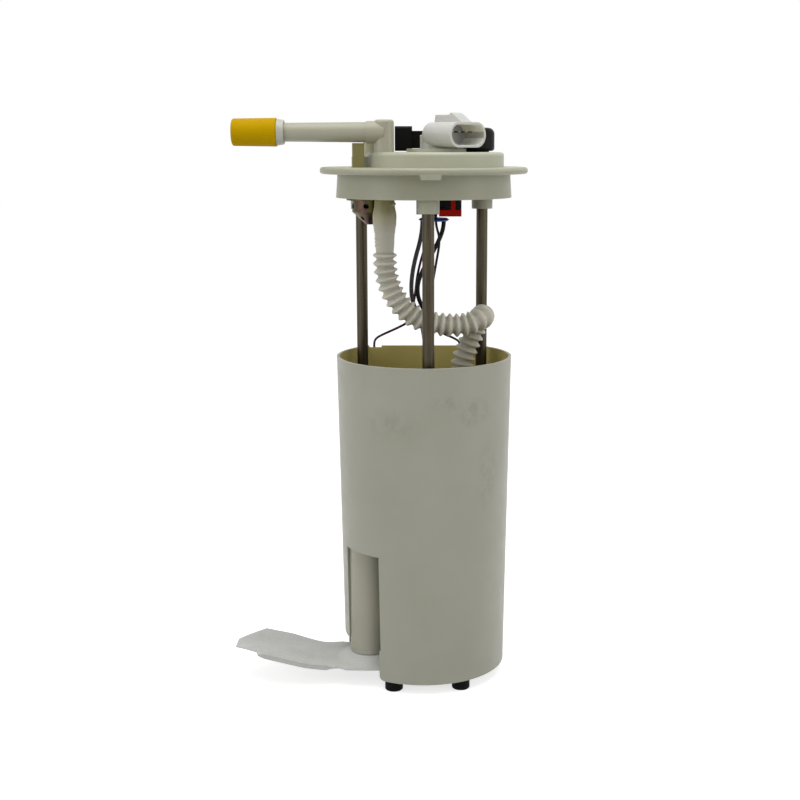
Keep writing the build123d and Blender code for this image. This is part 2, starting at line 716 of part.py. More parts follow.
def strainer_sock():
    """Flat felt bag: level under the well, then rising gently to a blunt end."""
    bend_x = WELL_X - SOCK_BEND
    tip_x = WELL_X - SOCK_TIP
    shoulder_x = WELL_X - SOCK_SHOULDER
    front = WELL_Y - SOCK_FRONT
    back = WELL_Y + SOCK_BACK
    level = Line((SOCK_RIGHT_X, 0, SOCK_TOP), (bend_x, 0, SOCK_TOP))
    middle = ((bend_x + tip_x) / 2, 0, SOCK_TOP + SOCK_RISE / 2)
    rise = Spline((bend_x, 0, SOCK_TOP), middle, (tip_x, 0, SOCK_TOP + SOCK_RISE),
                  tangents=[(-1, 0, 0), (-1, 0, 0)])
    down = Pos(0, 0, -SOCK_T)
    right_end = Line((SOCK_RIGHT_X, 0, SOCK_TOP), (SOCK_RIGHT_X, 0, SOCK_TOP - SOCK_T))
    tip_end = Line((tip_x, 0, SOCK_TOP + SOCK_RISE), (tip_x, 0, SOCK_TOP + SOCK_RISE - SOCK_T))
    side = make_face([level, rise, tip_end, down * rise, down * level, right_end])
    slab = extrude(side, amount=SECTION_REACH, dir=(0, 1, 0), both=True)
    plan = Polyline((SOCK_RIGHT_X, front), (shoulder_x, front),
                    (tip_x, WELL_Y - SOCK_TIP_FRONT), (tip_x, WELL_Y + SOCK_TIP_BACK),
                    (shoulder_x, back), (SOCK_RIGHT_X, back), close=True)
    prism = extrude(Pos(0, 0, SOCK_TOP - 2 * SOCK_T) * make_face(plan),
                    amount=SOCK_RISE + 2 * SOCK_T + SOCK_DROP)
    mound_top = WELL_BOTTOM - COLLAR_T
    mound = taper(SOCK_MOUND_R, WELL_R, SOCK_TOP, mound_top, WELL_X, WELL_Y)
    mound -= disc(COLLAR_NECK_R, SOCK_TOP, mound_top, WELL_X, WELL_Y)
    return (slab & prism) + (mound & prism)


def foot(x, y):
    """Rubber foot with a stem in the bucket's floor and a head above it."""
    pad = disc(FOOT_R, FOOT_BOTTOM, BUCKET_BOTTOM, x, y)
    pad = fillet(pad.edges().group_by(Axis.Z)[0], FOOT_ROUND)
    stem = disc(FOOT_STEM_R, BUCKET_BOTTOM, FLOOR_TOP, x, y)
    return pad + stem + taper(FOOT_STEM_R + FOOT_HEAD, FOOT_STEM_R - FOOT_HEAD, FLOOR_TOP,
                              FLOOR_TOP + FOOT_HEAD_H, x, y)


def skirt_form(inset):
    """The skirt's flared outside with its straight band at the top, moved inwards by inset."""
    top_r = SKIRT_R - SKIRT_FLARE - inset
    flare = taper(SKIRT_R - inset, top_r, -SKIRT_DEPTH, -SEAL_BAND_H)
    return flare + disc(top_r, -SEAL_BAND_H, 0)


def cover_plate():
    """Flange, hollow skirt and raised middle, with ribs under the flange."""
    plate = disc(FLANGE_R, 0, FLANGE_T)
    plate = fillet(plate.edges(), FLANGE_ROUND)
    top_r = SKIRT_R - SKIRT_FLARE
    skirt = skirt_form(0) - skirt_form(SKIRT_WALL)
    plateau = disc(PLATEAU_R, FLANGE_T, PLATEAU_TOP, PLATEAU_X)
    plateau = fillet(plateau.edges().group_by(Axis.Z)[-1], PLATEAU_ROUND)
    hollow_r = PLATEAU_R - COVER_WALL
    cover = plate + skirt + plateau - disc(hollow_r, 0, PLATEAU_ROOF, PLATEAU_X)
    rib = block(0, top_r - SKIRT_WALL / 2, -RIB_T / 2, RIB_T / 2, -RIB_DROP, 0)
    ribs = fanned(RIB_COUNT, rib, start=RIB_ANGLE)
    return cover + (ribs - disc(hollow_r, -RIB_DROP, 0, PLATEAU_X))


def key_tab():
    """Locating key at the front of the flange."""
    wide = Pos(0, 0, KEY_ROOT) * Rectangle(KEY_DEPTH, KEY_WIDTH)
    narrow = Pos(0, 0, -KEY_DROP) * Rectangle(KEY_DEPTH, KEY_WIDTH - KEY_DRAFT)
    reach = FLANGE_R - KEY_DEPTH / 2
    tab = Rot(0, 0, KEY_ANGLE) * Pos(reach, 0, 0) * loft([narrow, wide])
    return tab & disc(FLANGE_R, -KEY_DROP, KEY_ROOT)


def outlet_post():
    """Flat post on the flange that carries the outlet pipe."""
    post = block(POST_X - POST_W / 2, POST_X + POST_W / 2, OUTLET_Y - POST_D / 2,
                 OUTLET_Y + POST_D / 2, FLANGE_T, NIPPLE_Z)
    return post - along_x(NIPPLE_R + ROOT_GROW + FIT_GAP, POST_X - POST_W, POST_X + POST_W,
                          OUTLET_Y, NIPPLE_Z)


def hose_barb():
    """Barbed spigot under the cover that the hose is pushed onto."""
    barb = disc(BARB_R - BARB_STEM, -BARB_DROP, 0, OUTLET_X, OUTLET_Y)
    for i in range(BARB_TEETH):
        low = -BARB_DROP + BARB_PITCH * i
        barb += taper(BARB_R - 2 * BARB_STEM, BARB_R, low, low + BARB_H, OUTLET_X, OUTLET_Y)
    return barb


def connector_frame():
    """Frame of the connector: X out of its mouth, origin in the middle of the mouth."""
    place = Pos(CONNECTOR_X, CONNECTOR_Y, PLATEAU_TOP + CONNECTOR_UP)
    return place * Rot(0, 0, CONNECTOR_TURN)


def neck_place():
    """Where the connector's neck passes through the cover."""
    return Pos(NECK_X, NECK_Y, 0)


def oval_post(grow, low, high):
    """Upright oval around the connector's neck, grown sideways."""
    oval = SlotOverall(NECK_W + 2 * grow, NECK_D + 2 * grow)
    return extrude(neck_place() * Pos(0, 0, low) * oval, amount=high - low)


def tank_cover():
    """The cover moulding, with every boss, socket and opening."""
    cover = cover_plate() + key_tab() + outlet_post() + hose_barb()
    for angle in ROD_ANGLES.values():
        x, y = on_circle(ROD_CIRCLE_R, angle)
        cover += taper(BOSS_R, BOSS_R + BOSS_TAPER, -BOSS_DROP, FLANGE_T, x, y)
    cover += disc(TURRET_R, FLANGE_T, PLATEAU_TOP + TURRET_H, TURRET_X, REG_Y)
    cover += disc(REG_BODY_R, REG_NECK_TOP, PLATEAU_ROOF, REG_X, REG_Y)
    cover += disc(RISER_R, 0, PLATEAU_TOP, OUTLET_X, OUTLET_Y)
    cover += Pos(-PAD_SHIFT, 0, 0) * oval_post(PAD_GROW / 2, PLATEAU_TOP, PLATEAU_TOP + PAD_H)
    for angle in ROD_ANGLES.values():
        x, y = on_circle(ROD_CIRCLE_R, angle)
        cover -= disc(ROD_R, -BOSS_DROP, ROD_SEAT - BOSS_DROP, x, y)
    cover -= disc(FUEL_BORE_R, -BARB_DROP, PLATEAU_TOP, OUTLET_X, OUTLET_Y)
    cover -= oval_post(FIT_GAP, PLUG_TOP, PLATEAU_TOP + PAD_H)
    return cover - disc(GROMMET_R, PLATEAU_ROOF, PLATEAU_TOP, SENSOR_X, SENSOR_Y)


def cover_terminals():
    """Flat blades in the connector's mouth, and their tails down into the plug."""
    pins = Part()
    for i in range(PIN_COUNT):
        step = i - (PIN_COUNT - 1) / 2
        side = step * PIN_PITCH
        blade = block(-CONNECTOR_DEPTH - PIN_ROOT, -PIN_BACK, side - PIN_W / 2,
                      side + PIN_W / 2, PIN_UP - PIN_T / 2, PIN_UP + PIN_T / 2)
        tail = block(-PIN_W / 2, PIN_W / 2, -PIN_T / 2, PIN_T / 2,
                     PLUG_TOP - TAIL_DROP, PLUG_TOP + TAIL_UP)
        pins += connector_frame() * blade
        pins += neck_place() * Pos(step * TAIL_PITCH, 0, 0) * tail
    return pins


def cover_connector():
    """Oval shroud of the electrical connector, its latch ramp, and its neck."""
    body = extrude(Plane.YZ * SlotOverall(CONNECTOR_W, CONNECTOR_H), amount=-CONNECTOR_L)
    body = fillet(body.edges().group_by(Axis.X)[0], CONNECTOR_ROUND)
    profile = Polyline([(x, 0, CONNECTOR_H / 2 + up) for x, up in LATCH_PROFILE], close=True)
    latch = extrude(make_face(profile), amount=LATCH_W / 2, dir=(0, 1, 0), both=True)
    mouth = Plane.YZ * SlotOverall(CONNECTOR_W - 2 * CONNECTOR_WALL,
                                   CONNECTOR_H - 2 * CONNECTOR_WALL)
    hollow = extrude(mouth, amount=-CONNECTOR_DEPTH)
    shroud = connector_frame() * (body + latch)
    shroud += oval_post(0, PLUG_TOP, PLATEAU_TOP + CONNECTOR_UP)
    return shroud - connector_frame() * hollow - cover_terminals()


def harness_plug():
    """Black plug under the cover, stepped where the lock sits."""
    body = block(PLUG_LEFT, PLUG_RIGHT, PLUG_FRONT, -PLUG_FRONT, PLUG_BOTTOM, PLUG_TOP)
    body = fillet(body.edges().filter_by(Axis.Z), PLUG_ROUND)
    body -= block(PLUG_RIGHT - LOCK_W - FIT_GAP, PLUG_RIGHT, PLUG_FRONT, -PLUG_FRONT,
                  PLUG_BOTTOM, PLUG_BOTTOM + LOCK_STEP)
    for i in range(PLUG_GROOVES):
        x = PLUG_LEFT + PLUG_GROOVE_PITCH * (i + 1) - PLUG_GROOVE_W / 2
        body -= block(x, x + PLUG_GROOVE_W, PLUG_FRONT, PLUG_FRONT + PLUG_GROOVE_DEPTH,
                      PLUG_BOTTOM + LOCK_T, PLUG_TOP - PLUG_ROUND)
    return body - cover_terminals()


def plug_lock():
    """Red lock under the plug, with a strip up its front."""
    top = PLUG_BOTTOM + LOCK_STEP - FIT_GAP
    left = PLUG_RIGHT - LOCK_W
    front = PLUG_FRONT - LOCK_FRONT
    slab = block(left, PLUG_RIGHT, front, -PLUG_FRONT - LOCK_FRONT, top - LOCK_T, top)
    slab = fillet(slab.edges().filter_by(Axis.Z), LOCK_ROUND)
    strip = block(left + LOCK_STRIP_X, left + LOCK_STRIP_X + LOCK_STRIP_W, front,
                  PLUG_FRONT - FIT_GAP, top, PLUG_TOP - LOCK_STRIP_DROP)
    return slab + strip


def wire_seal():
    """Blue lens-shaped seal that the wires pass through, under the plug."""
    middle = (SEAL_TOP + SEAL_BOTTOM) / 2
    lens = taper(SEAL_R - SEAL_EDGE, SEAL_R, SEAL_BOTTOM, middle, SEAL_X)
    lens += taper(SEAL_R, SEAL_R - SEAL_EDGE, middle, SEAL_TOP, SEAL_X)
    return lens + disc(SEAL_NECK_R, SEAL_TOP, PLUG_BOTTOM, SEAL_X + SEAL_NECK_X)


def pressure_sensor():
    """Tank pressure sensor: round body, neck, and a connector shroud facing -X."""
    body = disc(SENSOR_R, SENSOR_LOW, SENSOR_LOW + SENSOR_H, SENSOR_X, SENSOR_Y)
    body = fillet(body.edges().group_by(Axis.Z)[-1], SENSOR_DOME)
    body = fillet(body.edges().group_by(Axis.Z)[0], SENSOR_ROUND)
    shroud_end = SHROUD_X + SHROUD_L
    half = SHROUD_W / 2
    shroud = block(SHROUD_X, shroud_end, SENSOR_Y - half, SENSOR_Y + half, SENSOR_LOW,
                   SENSOR_LOW + SHROUD_H)
    shroud = fillet(shroud.edges().filter_by(Axis.X), SENSOR_ROUND)
    inner = half - SHROUD_WALL
    socket = block(SHROUD_X, shroud_end - SHROUD_WALL, SENSOR_Y - inner, SENSOR_Y + inner,
                   SENSOR_LOW + SHROUD_WALL, SENSOR_LOW + SHROUD_H - SHROUD_WALL)
    neck_low = SENSOR_LOW + SHROUD_WALL
    neck = block(shroud_end, SENSOR_X, SENSOR_Y - SENSOR_NECK_W / 2,
                 SENSOR_Y + SENSOR_NECK_W / 2, neck_low, neck_low + SENSOR_NECK_H)
    port_low = SENSOR_LOW - SENSOR_PORT_L
    port = disc(SENSOR_PORT_R, port_low, SENSOR_LOW, SENSOR_X, SENSOR_Y)
    bore = disc(SENSOR_BORE_R, port_low, SENSOR_LOW + SENSOR_PORT_R, SENSOR_X, SENSOR_Y)
    return body + (shroud - socket) + neck + port - bore


def sensor_pins():
    """Contact pins in the sensor's shroud."""
    end = SHROUD_X + SHROUD_L - SHROUD_WALL
    z = SENSOR_LOW + SHROUD_H / 2
    half = SENSOR_PIN_W / 2
    pins = Part()
    for i in range(SENSOR_PINS):
        y = SENSOR_Y + (i - (SENSOR_PINS - 1) / 2) * SENSOR_PIN_PITCH
        pins += block(end - SENSOR_PIN_L, end, y - half, y + half, z - half, z + half)
    return pins


def sensor_grommet():
    """Rubber grommet between the sensor's port and the cover."""
    body = disc(GROMMET_R, PLATEAU_ROOF, PLATEAU_TOP, SENSOR_X, SENSOR_Y)
    body += disc(GROMMET_R + GROMMET_FLANGE, PLATEAU_TOP, SENSOR_LOW, SENSOR_X, SENSOR_Y)
    return body - disc(SENSOR_PORT_R, PLATEAU_ROOF, SENSOR_LOW, SENSOR_X, SENSOR_Y)


def outlet_elbow():
    """Domed riser with the tapered outlet pipe and its stub for the fuel line."""
    riser = disc(RISER_R, PLATEAU_TOP, PLATEAU_TOP + RISER_H, OUTLET_X, OUTLET_Y)
    riser = fillet(riser.edges().group_by(Axis.Z)[-1], RISER_ROUND)
    pipe = Pos(NIPPLE_X, OUTLET_Y, NIPPLE_Z) * Rot(0, 90, 0) * Cone(
        NIPPLE_END_R, NIPPLE_R, OUTLET_X - NIPPLE_X, align=LOW)
    pipe += along_x(NIPPLE_R + ROOT_GROW, OUTLET_X - ROOT_L, OUTLET_X, OUTLET_Y, NIPPLE_Z)
    stub = along_x(STUB_R, NIPPLE_X - STUB_L, NIPPLE_X, OUTLET_Y, NIPPLE_Z)
    stub = fillet(stub.edges().group_by(Axis.X)[0], STUB_ROUND)
    elbow = riser + pipe + stub
    elbow -= along_x(FUEL_BORE_R, NIPPLE_X - STUB_L, OUTLET_X, OUTLET_Y, NIPPLE_Z)
    return elbow - disc(FUEL_BORE_R, PLATEAU_TOP, NIPPLE_Z, OUTLET_X, OUTLET_Y)


def line_collar():
    """Collar at the root of the fuel line's stub."""
    collar = Pos(COLLAR_X, OUTLET_Y, NIPPLE_Z) * Rot(0, 90, 0) * Cone(
        COLLAR_R, COLLAR_R - COLLAR_TAPER, COLLAR_L, align=LOW)
    return collar - along_x(STUB_R, COLLAR_X, COLLAR_X + COLLAR_L, OUTLET_Y, NIPPLE_Z)


def shipping_cap():
    """Yellow cap pushed over the stub, closed at its far end."""
    cap = Pos(CAP_X, OUTLET_Y, NIPPLE_Z) * Rot(0, 90, 0) * Cone(
        CAP_END_R, CAP_R, CAP_L, align=LOW)
    cap = fillet(cap.edges().group_by(Axis.X)[0], CAP_ROUND)
    return cap - along_x(STUB_R + FIT_GAP, CAP_X + CAP_WALL, CAP_MOUTH_X, OUTLET_Y, NIPPLE_Z)


def regulator_body():
    """Lower shell of the regulator: rim, short drum and cone, with vent holes."""
    rim_low = REG_RIM_Z - REG_RIM_T
    mid = REG_RIM_Z - REG_RIM_T / 2
    bore_r = REG_BODY_R - REG_SHELL_T
    profile = Polyline((0, 0, REG_TIP), (REG_TIP_R, 0, REG_TIP), (REG_BODY_R, 0, REG_DRUM_LOW),
                       (REG_BODY_R, 0, rim_low), (REG_RIM_R, 0, rim_low), (REG_RIM_R, 0, mid),
                       (bore_r, 0, mid), (bore_r, 0, REG_DRUM_LOW),
                       (REG_TIP_R, 0, REG_TIP + REG_SHELL_T), (0, 0, REG_TIP + REG_SHELL_T),
                       close=True)
    shell = revolve(make_face(profile), Axis.Z)
    large = along_x(REG_HOLE_R, bore_r - REG_SHELL_T, REG_BODY_R + REG_SHELL_T, 0,
                    REG_DRUM_LOW + REG_BODY_H / 2)
    cone_turn = degrees(atan2(REG_CONE_H, REG_BODY_R - REG_TIP_R))
    cone_r = (REG_BODY_R + REG_TIP_R) / 2
    small = Pos(cone_r, 0, REG_DRUM_LOW - REG_CONE_H / 2) * Rot(0, cone_turn, 0) * Cylinder(
        REG_SMALL_HOLE_R, REG_DRILL_L)
    shell -= fanned(REG_HOLES, large, start=REG_HOLE_ANGLE)
    shell -= fanned(REG_HOLES, small, start=REG_HOLE_ANGLE + 180 / REG_HOLES)
    return Pos(REG_X, REG_Y, 0) * shell


def regulator_cap():
    """Upper shell of the regulator, crimped onto the rim, with its neck."""
    mid = REG_RIM_Z - REG_RIM_T / 2
    rim = disc(REG_RIM_R, mid, REG_RIM_Z, REG_X, REG_Y)
    neck_r = REG_BODY_R - REG_SHELL_T
    return rim + taper(neck_r, neck_r - REG_SHELL_T, REG_RIM_Z, REG_NECK_TOP, REG_X, REG_Y)


def regulator_diaphragm():
    """Diaphragm plate that the regulator's spring pushes up."""
    mid = REG_RIM_Z - REG_RIM_T / 2
    plate_r = REG_BODY_R - REG_SHELL_T - FIT_GAP
    plate = disc(plate_r, mid - REG_SHELL_T, mid, REG_X, REG_Y)
    return plate + disc(REG_SPRING_R - 2 * REG_SPRING_WIRE_R, mid - 2 * REG_RIM_T,
                        mid - REG_SHELL_T, REG_X, REG_Y)


def regulator_spring():
    """Coil spring inside the regulator, seen through its vent holes."""
    high = REG_RIM_Z - REG_RIM_T / 2 - REG_SHELL_T - SPRING_END_GAP
    low = REG_DRUM_LOW - REG_CONE_H / 2 + SPRING_END_GAP
    return coil(REG_SPRING_R, REG_SPRING_WIRE_R, REG_SPRING_TURNS, low, high, REG_X, REG_Y)


def pump_can():
    """Steel tube of the pump, rolled in at both ends."""
    high = CAN_TOP + PUMP_WALL
    low = CAN_BOTTOM - PUMP_WALL
    can = disc(PUMP_R, low, high, PUMP_X, PUMP_Y)
    can = fillet(can.edges().filter_by(GeomType.CIRCLE), PUMP_WALL / 2)
    can -= disc(CAN_BORE_R, CAN_BOTTOM, CAN_TOP, PUMP_X, PUMP_Y)
    return can - disc(PUMP_R - PUMP_ROLL, low, high, PUMP_X, PUMP_Y)


def terminal_places():
    """Centres of the pump's two terminal towers."""
    return [(PUMP_X + x, PUMP_Y + y) for x, y in TERMINAL_PLACES]


def pump_outlet_cap():
    """Top cap of the pump with the outlet spigot and two terminal towers."""
    low = CAN_TOP - TOP_CAP_DEPTH
    spigot_x = PUMP_X + PUMP_SPIGOT_X
    spigot_y = PUMP_Y + PUMP_SPIGOT_Y
    cap = disc(CAN_BORE_R, low, CAN_TOP, PUMP_X, PUMP_Y)
    cap += disc(PUMP_R - PUMP_ROLL, CAN_TOP, PUMP_TOP, PUMP_X, PUMP_Y)
    spigot = disc(BARB_R, PUMP_TOP, PUMP_TOP + PUMP_SPIGOT_H, spigot_x, spigot_y)
    cap += fillet(spigot.edges().group_by(Axis.Z)[-1], BARB_STEM)
    for x, y in terminal_places():
        cap += disc(TERMINAL_R, PUMP_TOP, PUMP_TOP + TERMINAL_H, x, y)
    cap -= disc(FUEL_BORE_R, low, PUMP_TOP + PUMP_SPIGOT_H, spigot_x, spigot_y)
    return cap - disc(SHAFT_R + RUN_GAP, low, CAN_TOP - SHAFT_R, PUMP_X, PUMP_Y)


def pump_inlet_cap():
    """Bottom cap of the pump with its inlet."""
    high = CAN_BOTTOM + BOTTOM_CAP_DEPTH
    inlet_x = PUMP_X + INLET_X
    cap = disc(CAN_BORE_R, CAN_BOTTOM, high, PUMP_X, PUMP_Y)
    cap += disc(PUMP_R - PUMP_ROLL, CAN_BOTTOM - PUMP_WALL, CAN_BOTTOM, PUMP_X, PUMP_Y)
    cap += disc(BOTTOM_CAP_R, PUMP_BOTTOM, CAN_BOTTOM - PUMP_WALL, PUMP_X, PUMP_Y)
    cap += disc(INLET_R, PUMP_BOTTOM - INLET_L, PUMP_BOTTOM, inlet_x, PUMP_Y)
    cap -= disc(INLET_BORE_R, PUMP_BOTTOM - INLET_L, high, inlet_x, PUMP_Y)
    return cap - disc(SHAFT_R + RUN_GAP, CAN_BOTTOM, high, PUMP_X, PUMP_Y)


def pump_impeller():
    """Impeller with vane pockets cut in its edge."""
    high = IMPELLER_LOW + IMPELLER_T
    pocket = block(IMPELLER_R - VANE_DEPTH, IMPELLER_R + CUT_OVER, -VANE_POCKET / 2, VANE_POCKET / 2,
                   IMPELLER_LOW, high)
    wheel = ring(IMPELLER_R, SHAFT_R, IMPELLER_LOW, high, PUMP_X, PUMP_Y)
    return wheel - fanned(IMPELLER_VANES, pocket, PUMP_X, PUMP_Y)


def pump_plate():
    """Plate between the impeller and the motor, with the shaft's lower bearing."""
    high = PLATE_LOW + PLATE_T
    plate = ring(CAN_BORE_R, SHAFT_R + RUN_GAP, PLATE_LOW, high, PUMP_X, PUMP_Y)
    return plate - disc(PLATE_PORT_R, PLATE_LOW, high, PUMP_X + PLATE_PORT_X, PUMP_Y)


def pump_shaft():
    """Shaft of the pump's motor."""
    return disc(SHAFT_R, CAN_BOTTOM + SHAFT_END_GAP, CAN_TOP - SHAFT_END_GAP, PUMP_X, PUMP_Y)


def pump_rotor():
    """Wound rotor with its slots."""
    high = ROTOR_LOW + ROTOR_L
    slot = block(ROTOR_R - ROTOR_SLOT_DEPTH, ROTOR_R + CUT_OVER, -ROTOR_SLOT_W / 2, ROTOR_SLOT_W / 2,
                 ROTOR_LOW, high)
    body = ring(ROTOR_R, SHAFT_R, ROTOR_LOW, high, PUMP_X, PUMP_Y)
    return body - fanned(ROTOR_SLOTS, slot, PUMP_X, PUMP_Y)


def pump_commutator():
    """Commutator above the rotor."""
    return ring(COMMUTATOR_R, SHAFT_R, COMMUTATOR_LOW, COMMUTATOR_LOW + COMMUTATOR_L,
                PUMP_X, PUMP_Y)


def pump_brushes():
    """Two carbon brushes, one each side of the commutator."""
    near = COMMUTATOR_R + FIT_GAP
    low = COMMUTATOR_LOW + (COMMUTATOR_L - BRUSH_H) / 2
    brush = block(near, near + BRUSH_L, -BRUSH_W / 2, BRUSH_W / 2, low, low + BRUSH_H)
    return fanned(2, brush, PUMP_X, PUMP_Y)


def pump_magnets():
    """Two magnet shells inside the can."""
    low = ROTOR_LOW - MAGNET_OVERHANG
    high = COMMUTATOR_LOW + MAGNET_OVERHANG
    shells = ring(CAN_BORE_R, CAN_BORE_R - MAGNET_T, low, high, PUMP_X, PUMP_Y)
    half = MAGNET_GAP / 2
    return shells - block(PUMP_X - PUMP_R, PUMP_X + PUMP_R, PUMP_Y - half, PUMP_Y + half,
                          low, high)


def pump_isolator():
    """Rubber cup between the pump's bottom and its seat in the bucket."""
    low = FLOOR_TOP + CUP_LIFT
    middle = CAN_BOTTOM - PUMP_WALL
    outer = OUTER_RUBBER_R - FIT_GAP
    cup = ring(outer, PUMP_R, middle, CAN_BOTTOM + CUP_OVERLAP, PUMP_X, PUMP_Y)
    cup += ring(outer, BOTTOM_CAP_R, low, middle, PUMP_X, PUMP_Y)
    far = hypot(PUMP_X - WELL_X, PUMP_Y - WELL_Y)
    return cup - jet_frame() * along_x(JET_R + SOFT_GAP, WELL_R, far, 0, 0)


def pump_spider():
    """Plastic ring with arms to the bucket's wall, around the pump's top."""
    low = CAN_TOP - SPIDER_DROP
    high = low + SPIDER_H
    outer = OUTER_RUBBER_R + SPIDER_WALL
    arms = Part()
    for turn in SPIDER_ANGLES:
        arm = block(OUTER_RUBBER_R, 2 * BUCKET_TOP_R, -SPIDER_ARM / 2, SPIDER_ARM / 2, low, high)
        arms += Pos(PUMP_X, PUMP_Y, 0) * Rot(0, 0, turn) * arm
    arms = arms & bucket_form(BUCKET_WALL + FIT_GAP, low, high)
    for angle in ROD_ANGLES.values():
        x, y = on_circle(ROD_CIRCLE_R, angle)
        arms -= disc(GUIDE_R + FIT_GAP, low, high, x, y)
    hub = disc(outer, low, high, PUMP_X, PUMP_Y)
    return arms + hub - disc(OUTER_RUBBER_R, low, high, PUMP_X, PUMP_Y)


def spider_rubber():
    """Rubber ring between the pump's top and the spider."""
    low = CAN_TOP - SPIDER_DROP - RUBBER_T
    high = CAN_TOP - SPIDER_DROP + SPIDER_H + RUBBER_T
    return ring(OUTER_RUBBER_R, PUMP_R, low, high, PUMP_X, PUMP_Y)


def inlet_screen():
    """Felt screen on the pump's own inlet."""
    pad = disc(SCREEN_R, FLOOR_TOP + SCREEN_FLOOR_GAP, PUMP_BOTTOM - INLET_L, PUMP_X, PUMP_Y)
    return fillet(pad.edges(), SCREEN_ROUND)


def guide_rod(name):
    """Steel rod from its boss in the cover to its guide in the bucket."""
    x, y = on_circle(ROD_CIRCLE_R, ROD_ANGLES[name])
    rod = disc(ROD_R, ROD_BOTTOM, ROD_SEAT - BOSS_DROP, x, y)
    return rod - ring(ROD_R, ROD_R - ROD_GROOVE, STOP_TOP - STOP_RING_T, STOP_TOP, x, y)


def stop_rings():
    """Snap rings on the rods' tails, which stop at the guides' necks."""
    rings = Part()
    for angle in ROD_ANGLES.values():
        x, y = on_circle(ROD_CIRCLE_R, angle)
        rings += ring(STOP_RING_R, ROD_R - ROD_GROOVE, STOP_TOP - STOP_RING_T, STOP_TOP, x, y)
    return rings


def rod_spring(name):
    """Coil spring between a rod's end and the bottom of its guide."""
    x, y = on_circle(ROD_CIRCLE_R, ROD_ANGLES[name])
    radius = CHAMBER_R - SPRING_WIRE_R - SPRING_SIDE_GAP
    return coil(radius, SPRING_WIRE_R, SPRING_TURNS, CHAMBER_BOTTOM + SPRING_END_GAP,
                ROD_BOTTOM - SPRING_END_GAP, x, y)


def fuel_hose():
    """The hose as a plain tube, from the cover's barb to the pump's spigot."""
    end = (PUMP_X + PUMP_SPIGOT_X, PUMP_Y + PUMP_SPIGOT_Y, HOSE_END_Z)
    route = [(OUTLET_X, OUTLET_Y, HOSE_TOP_Z)] + HOSE_ROUTE + [end]
    return tube_along(route, HOSE_R, HOSE_BORE_R)


def sender_housing():
    """Framed housing of the level sender on the flat back, with the arm's pin."""
    x0 = SENDER_X - SENDER_W / 2
    x1 = SENDER_X + SENDER_W / 2
    top = SENDER_Z + SENDER_H / 2
    body = block(x0, x1, BACK_FLAT_Y, SENDER_FACE, top - SENDER_H, top)
    body = fillet(body.edges().filter_by(Axis.Y), SENDER_ROUND)
    body -= block(x0 + SENDER_FRAME, x1 - SENDER_FRAME, SENDER_FACE - SENDER_POCKET,
                  SENDER_FACE, SENDER_Z + SENDER_FRAME, top - SENDER_FRAME)
    pin_end = HUB_FRONT + HUB_T + HUB_GAP
    return body + along_y(SENDER_PIN_R, SENDER_FACE, pin_end, SENDER_X, SENDER_Z)


def sender_card():
    """Ceramic resistor card in the sender's pocket."""
    low_y = SENDER_FACE - SENDER_POCKET
    half = SENDER_W / 2 - SENDER_FRAME - CARD_GAP
    return block(SENDER_X - half, SENDER_X + half, low_y, low_y + CARD_T,
                 SENDER_Z + SENDER_FRAME + CARD_GAP,
                 SENDER_Z + SENDER_H / 2 - SENDER_FRAME - CARD_GAP)


def float_arm():
    """Steel wire from the hub to the float, with its end bent through the float."""
    y = HUB_FRONT + HUB_T / 2
    dx = sin(radians(ARM_REST))
    dz = -cos(radians(ARM_REST))
    start = (SENDER_X + ARM_START * dx, y, SENDER_Z + ARM_START * dz)
    path = FilletPolyline(start, (FLOAT_X, y, FLOAT_Z),
                          (FLOAT_X, FLOAT_BACK_Y + ARM_TIP, FLOAT_Z), radius=ARM_BEND_R)
    section = Plane(origin=path @ 0, z_dir=path % 0) * Circle(ARM_R)
    return sweep(section, path=path)


def arm_hub():
    """Hub that turns on the sender's pin, with the clip that grips the arm."""
    back = HUB_FRONT + HUB_T
    hub = along_y(HUB_R, HUB_FRONT, back, SENDER_X, SENDER_Z)
    grip = block(-HUB_GRIP_W / 2, HUB_GRIP_W / 2, HUB_FRONT, back, -HUB_GRIP_L, 0)
    hub += Pos(SENDER_X, 0, SENDER_Z) * Rot(0, -ARM_REST, 0) * grip
    return hub - along_y(SENDER_PIN_R + RUN_GAP, HUB_FRONT, back, SENDER_X,
                         SENDER_Z) - float_arm()


def sender_wiper():
    """Sprung contact on the hub that sweeps over the card."""
    wiper = block(-WIPER_W / 2, WIPER_W / 2, HUB_FRONT - WIPER_T, HUB_FRONT, HUB_R,
                  HUB_R + WIPER_L)
    root = block(-WIPER_W / 2, WIPER_W / 2, HUB_FRONT, HUB_FRONT + WIPER_T, HUB_R,
                 HUB_R + WIPER_T)
    return Pos(SENDER_X, 0, SENDER_Z) * Rot(0, WIPER_ANGLE, 0) * (wiper + root)


def level_float():
    """Foam float, hung a little above its middle."""
    front = FLOAT_BACK_Y - FLOAT_T
    low = FLOAT_Z - FLOAT_PIVOT_UP - FLOAT_H / 2
    body = block(FLOAT_X - FLOAT_L / 2, FLOAT_X + FLOAT_L / 2, front, FLOAT_BACK_Y,
                 low, low + FLOAT_H)
    body = fillet(body.edges().filter_by(Axis.Y), FLOAT_ROUND)
    return body - along_y(ARM_R + RUN_GAP, front, FLOAT_BACK_Y, FLOAT_X, FLOAT_Z)


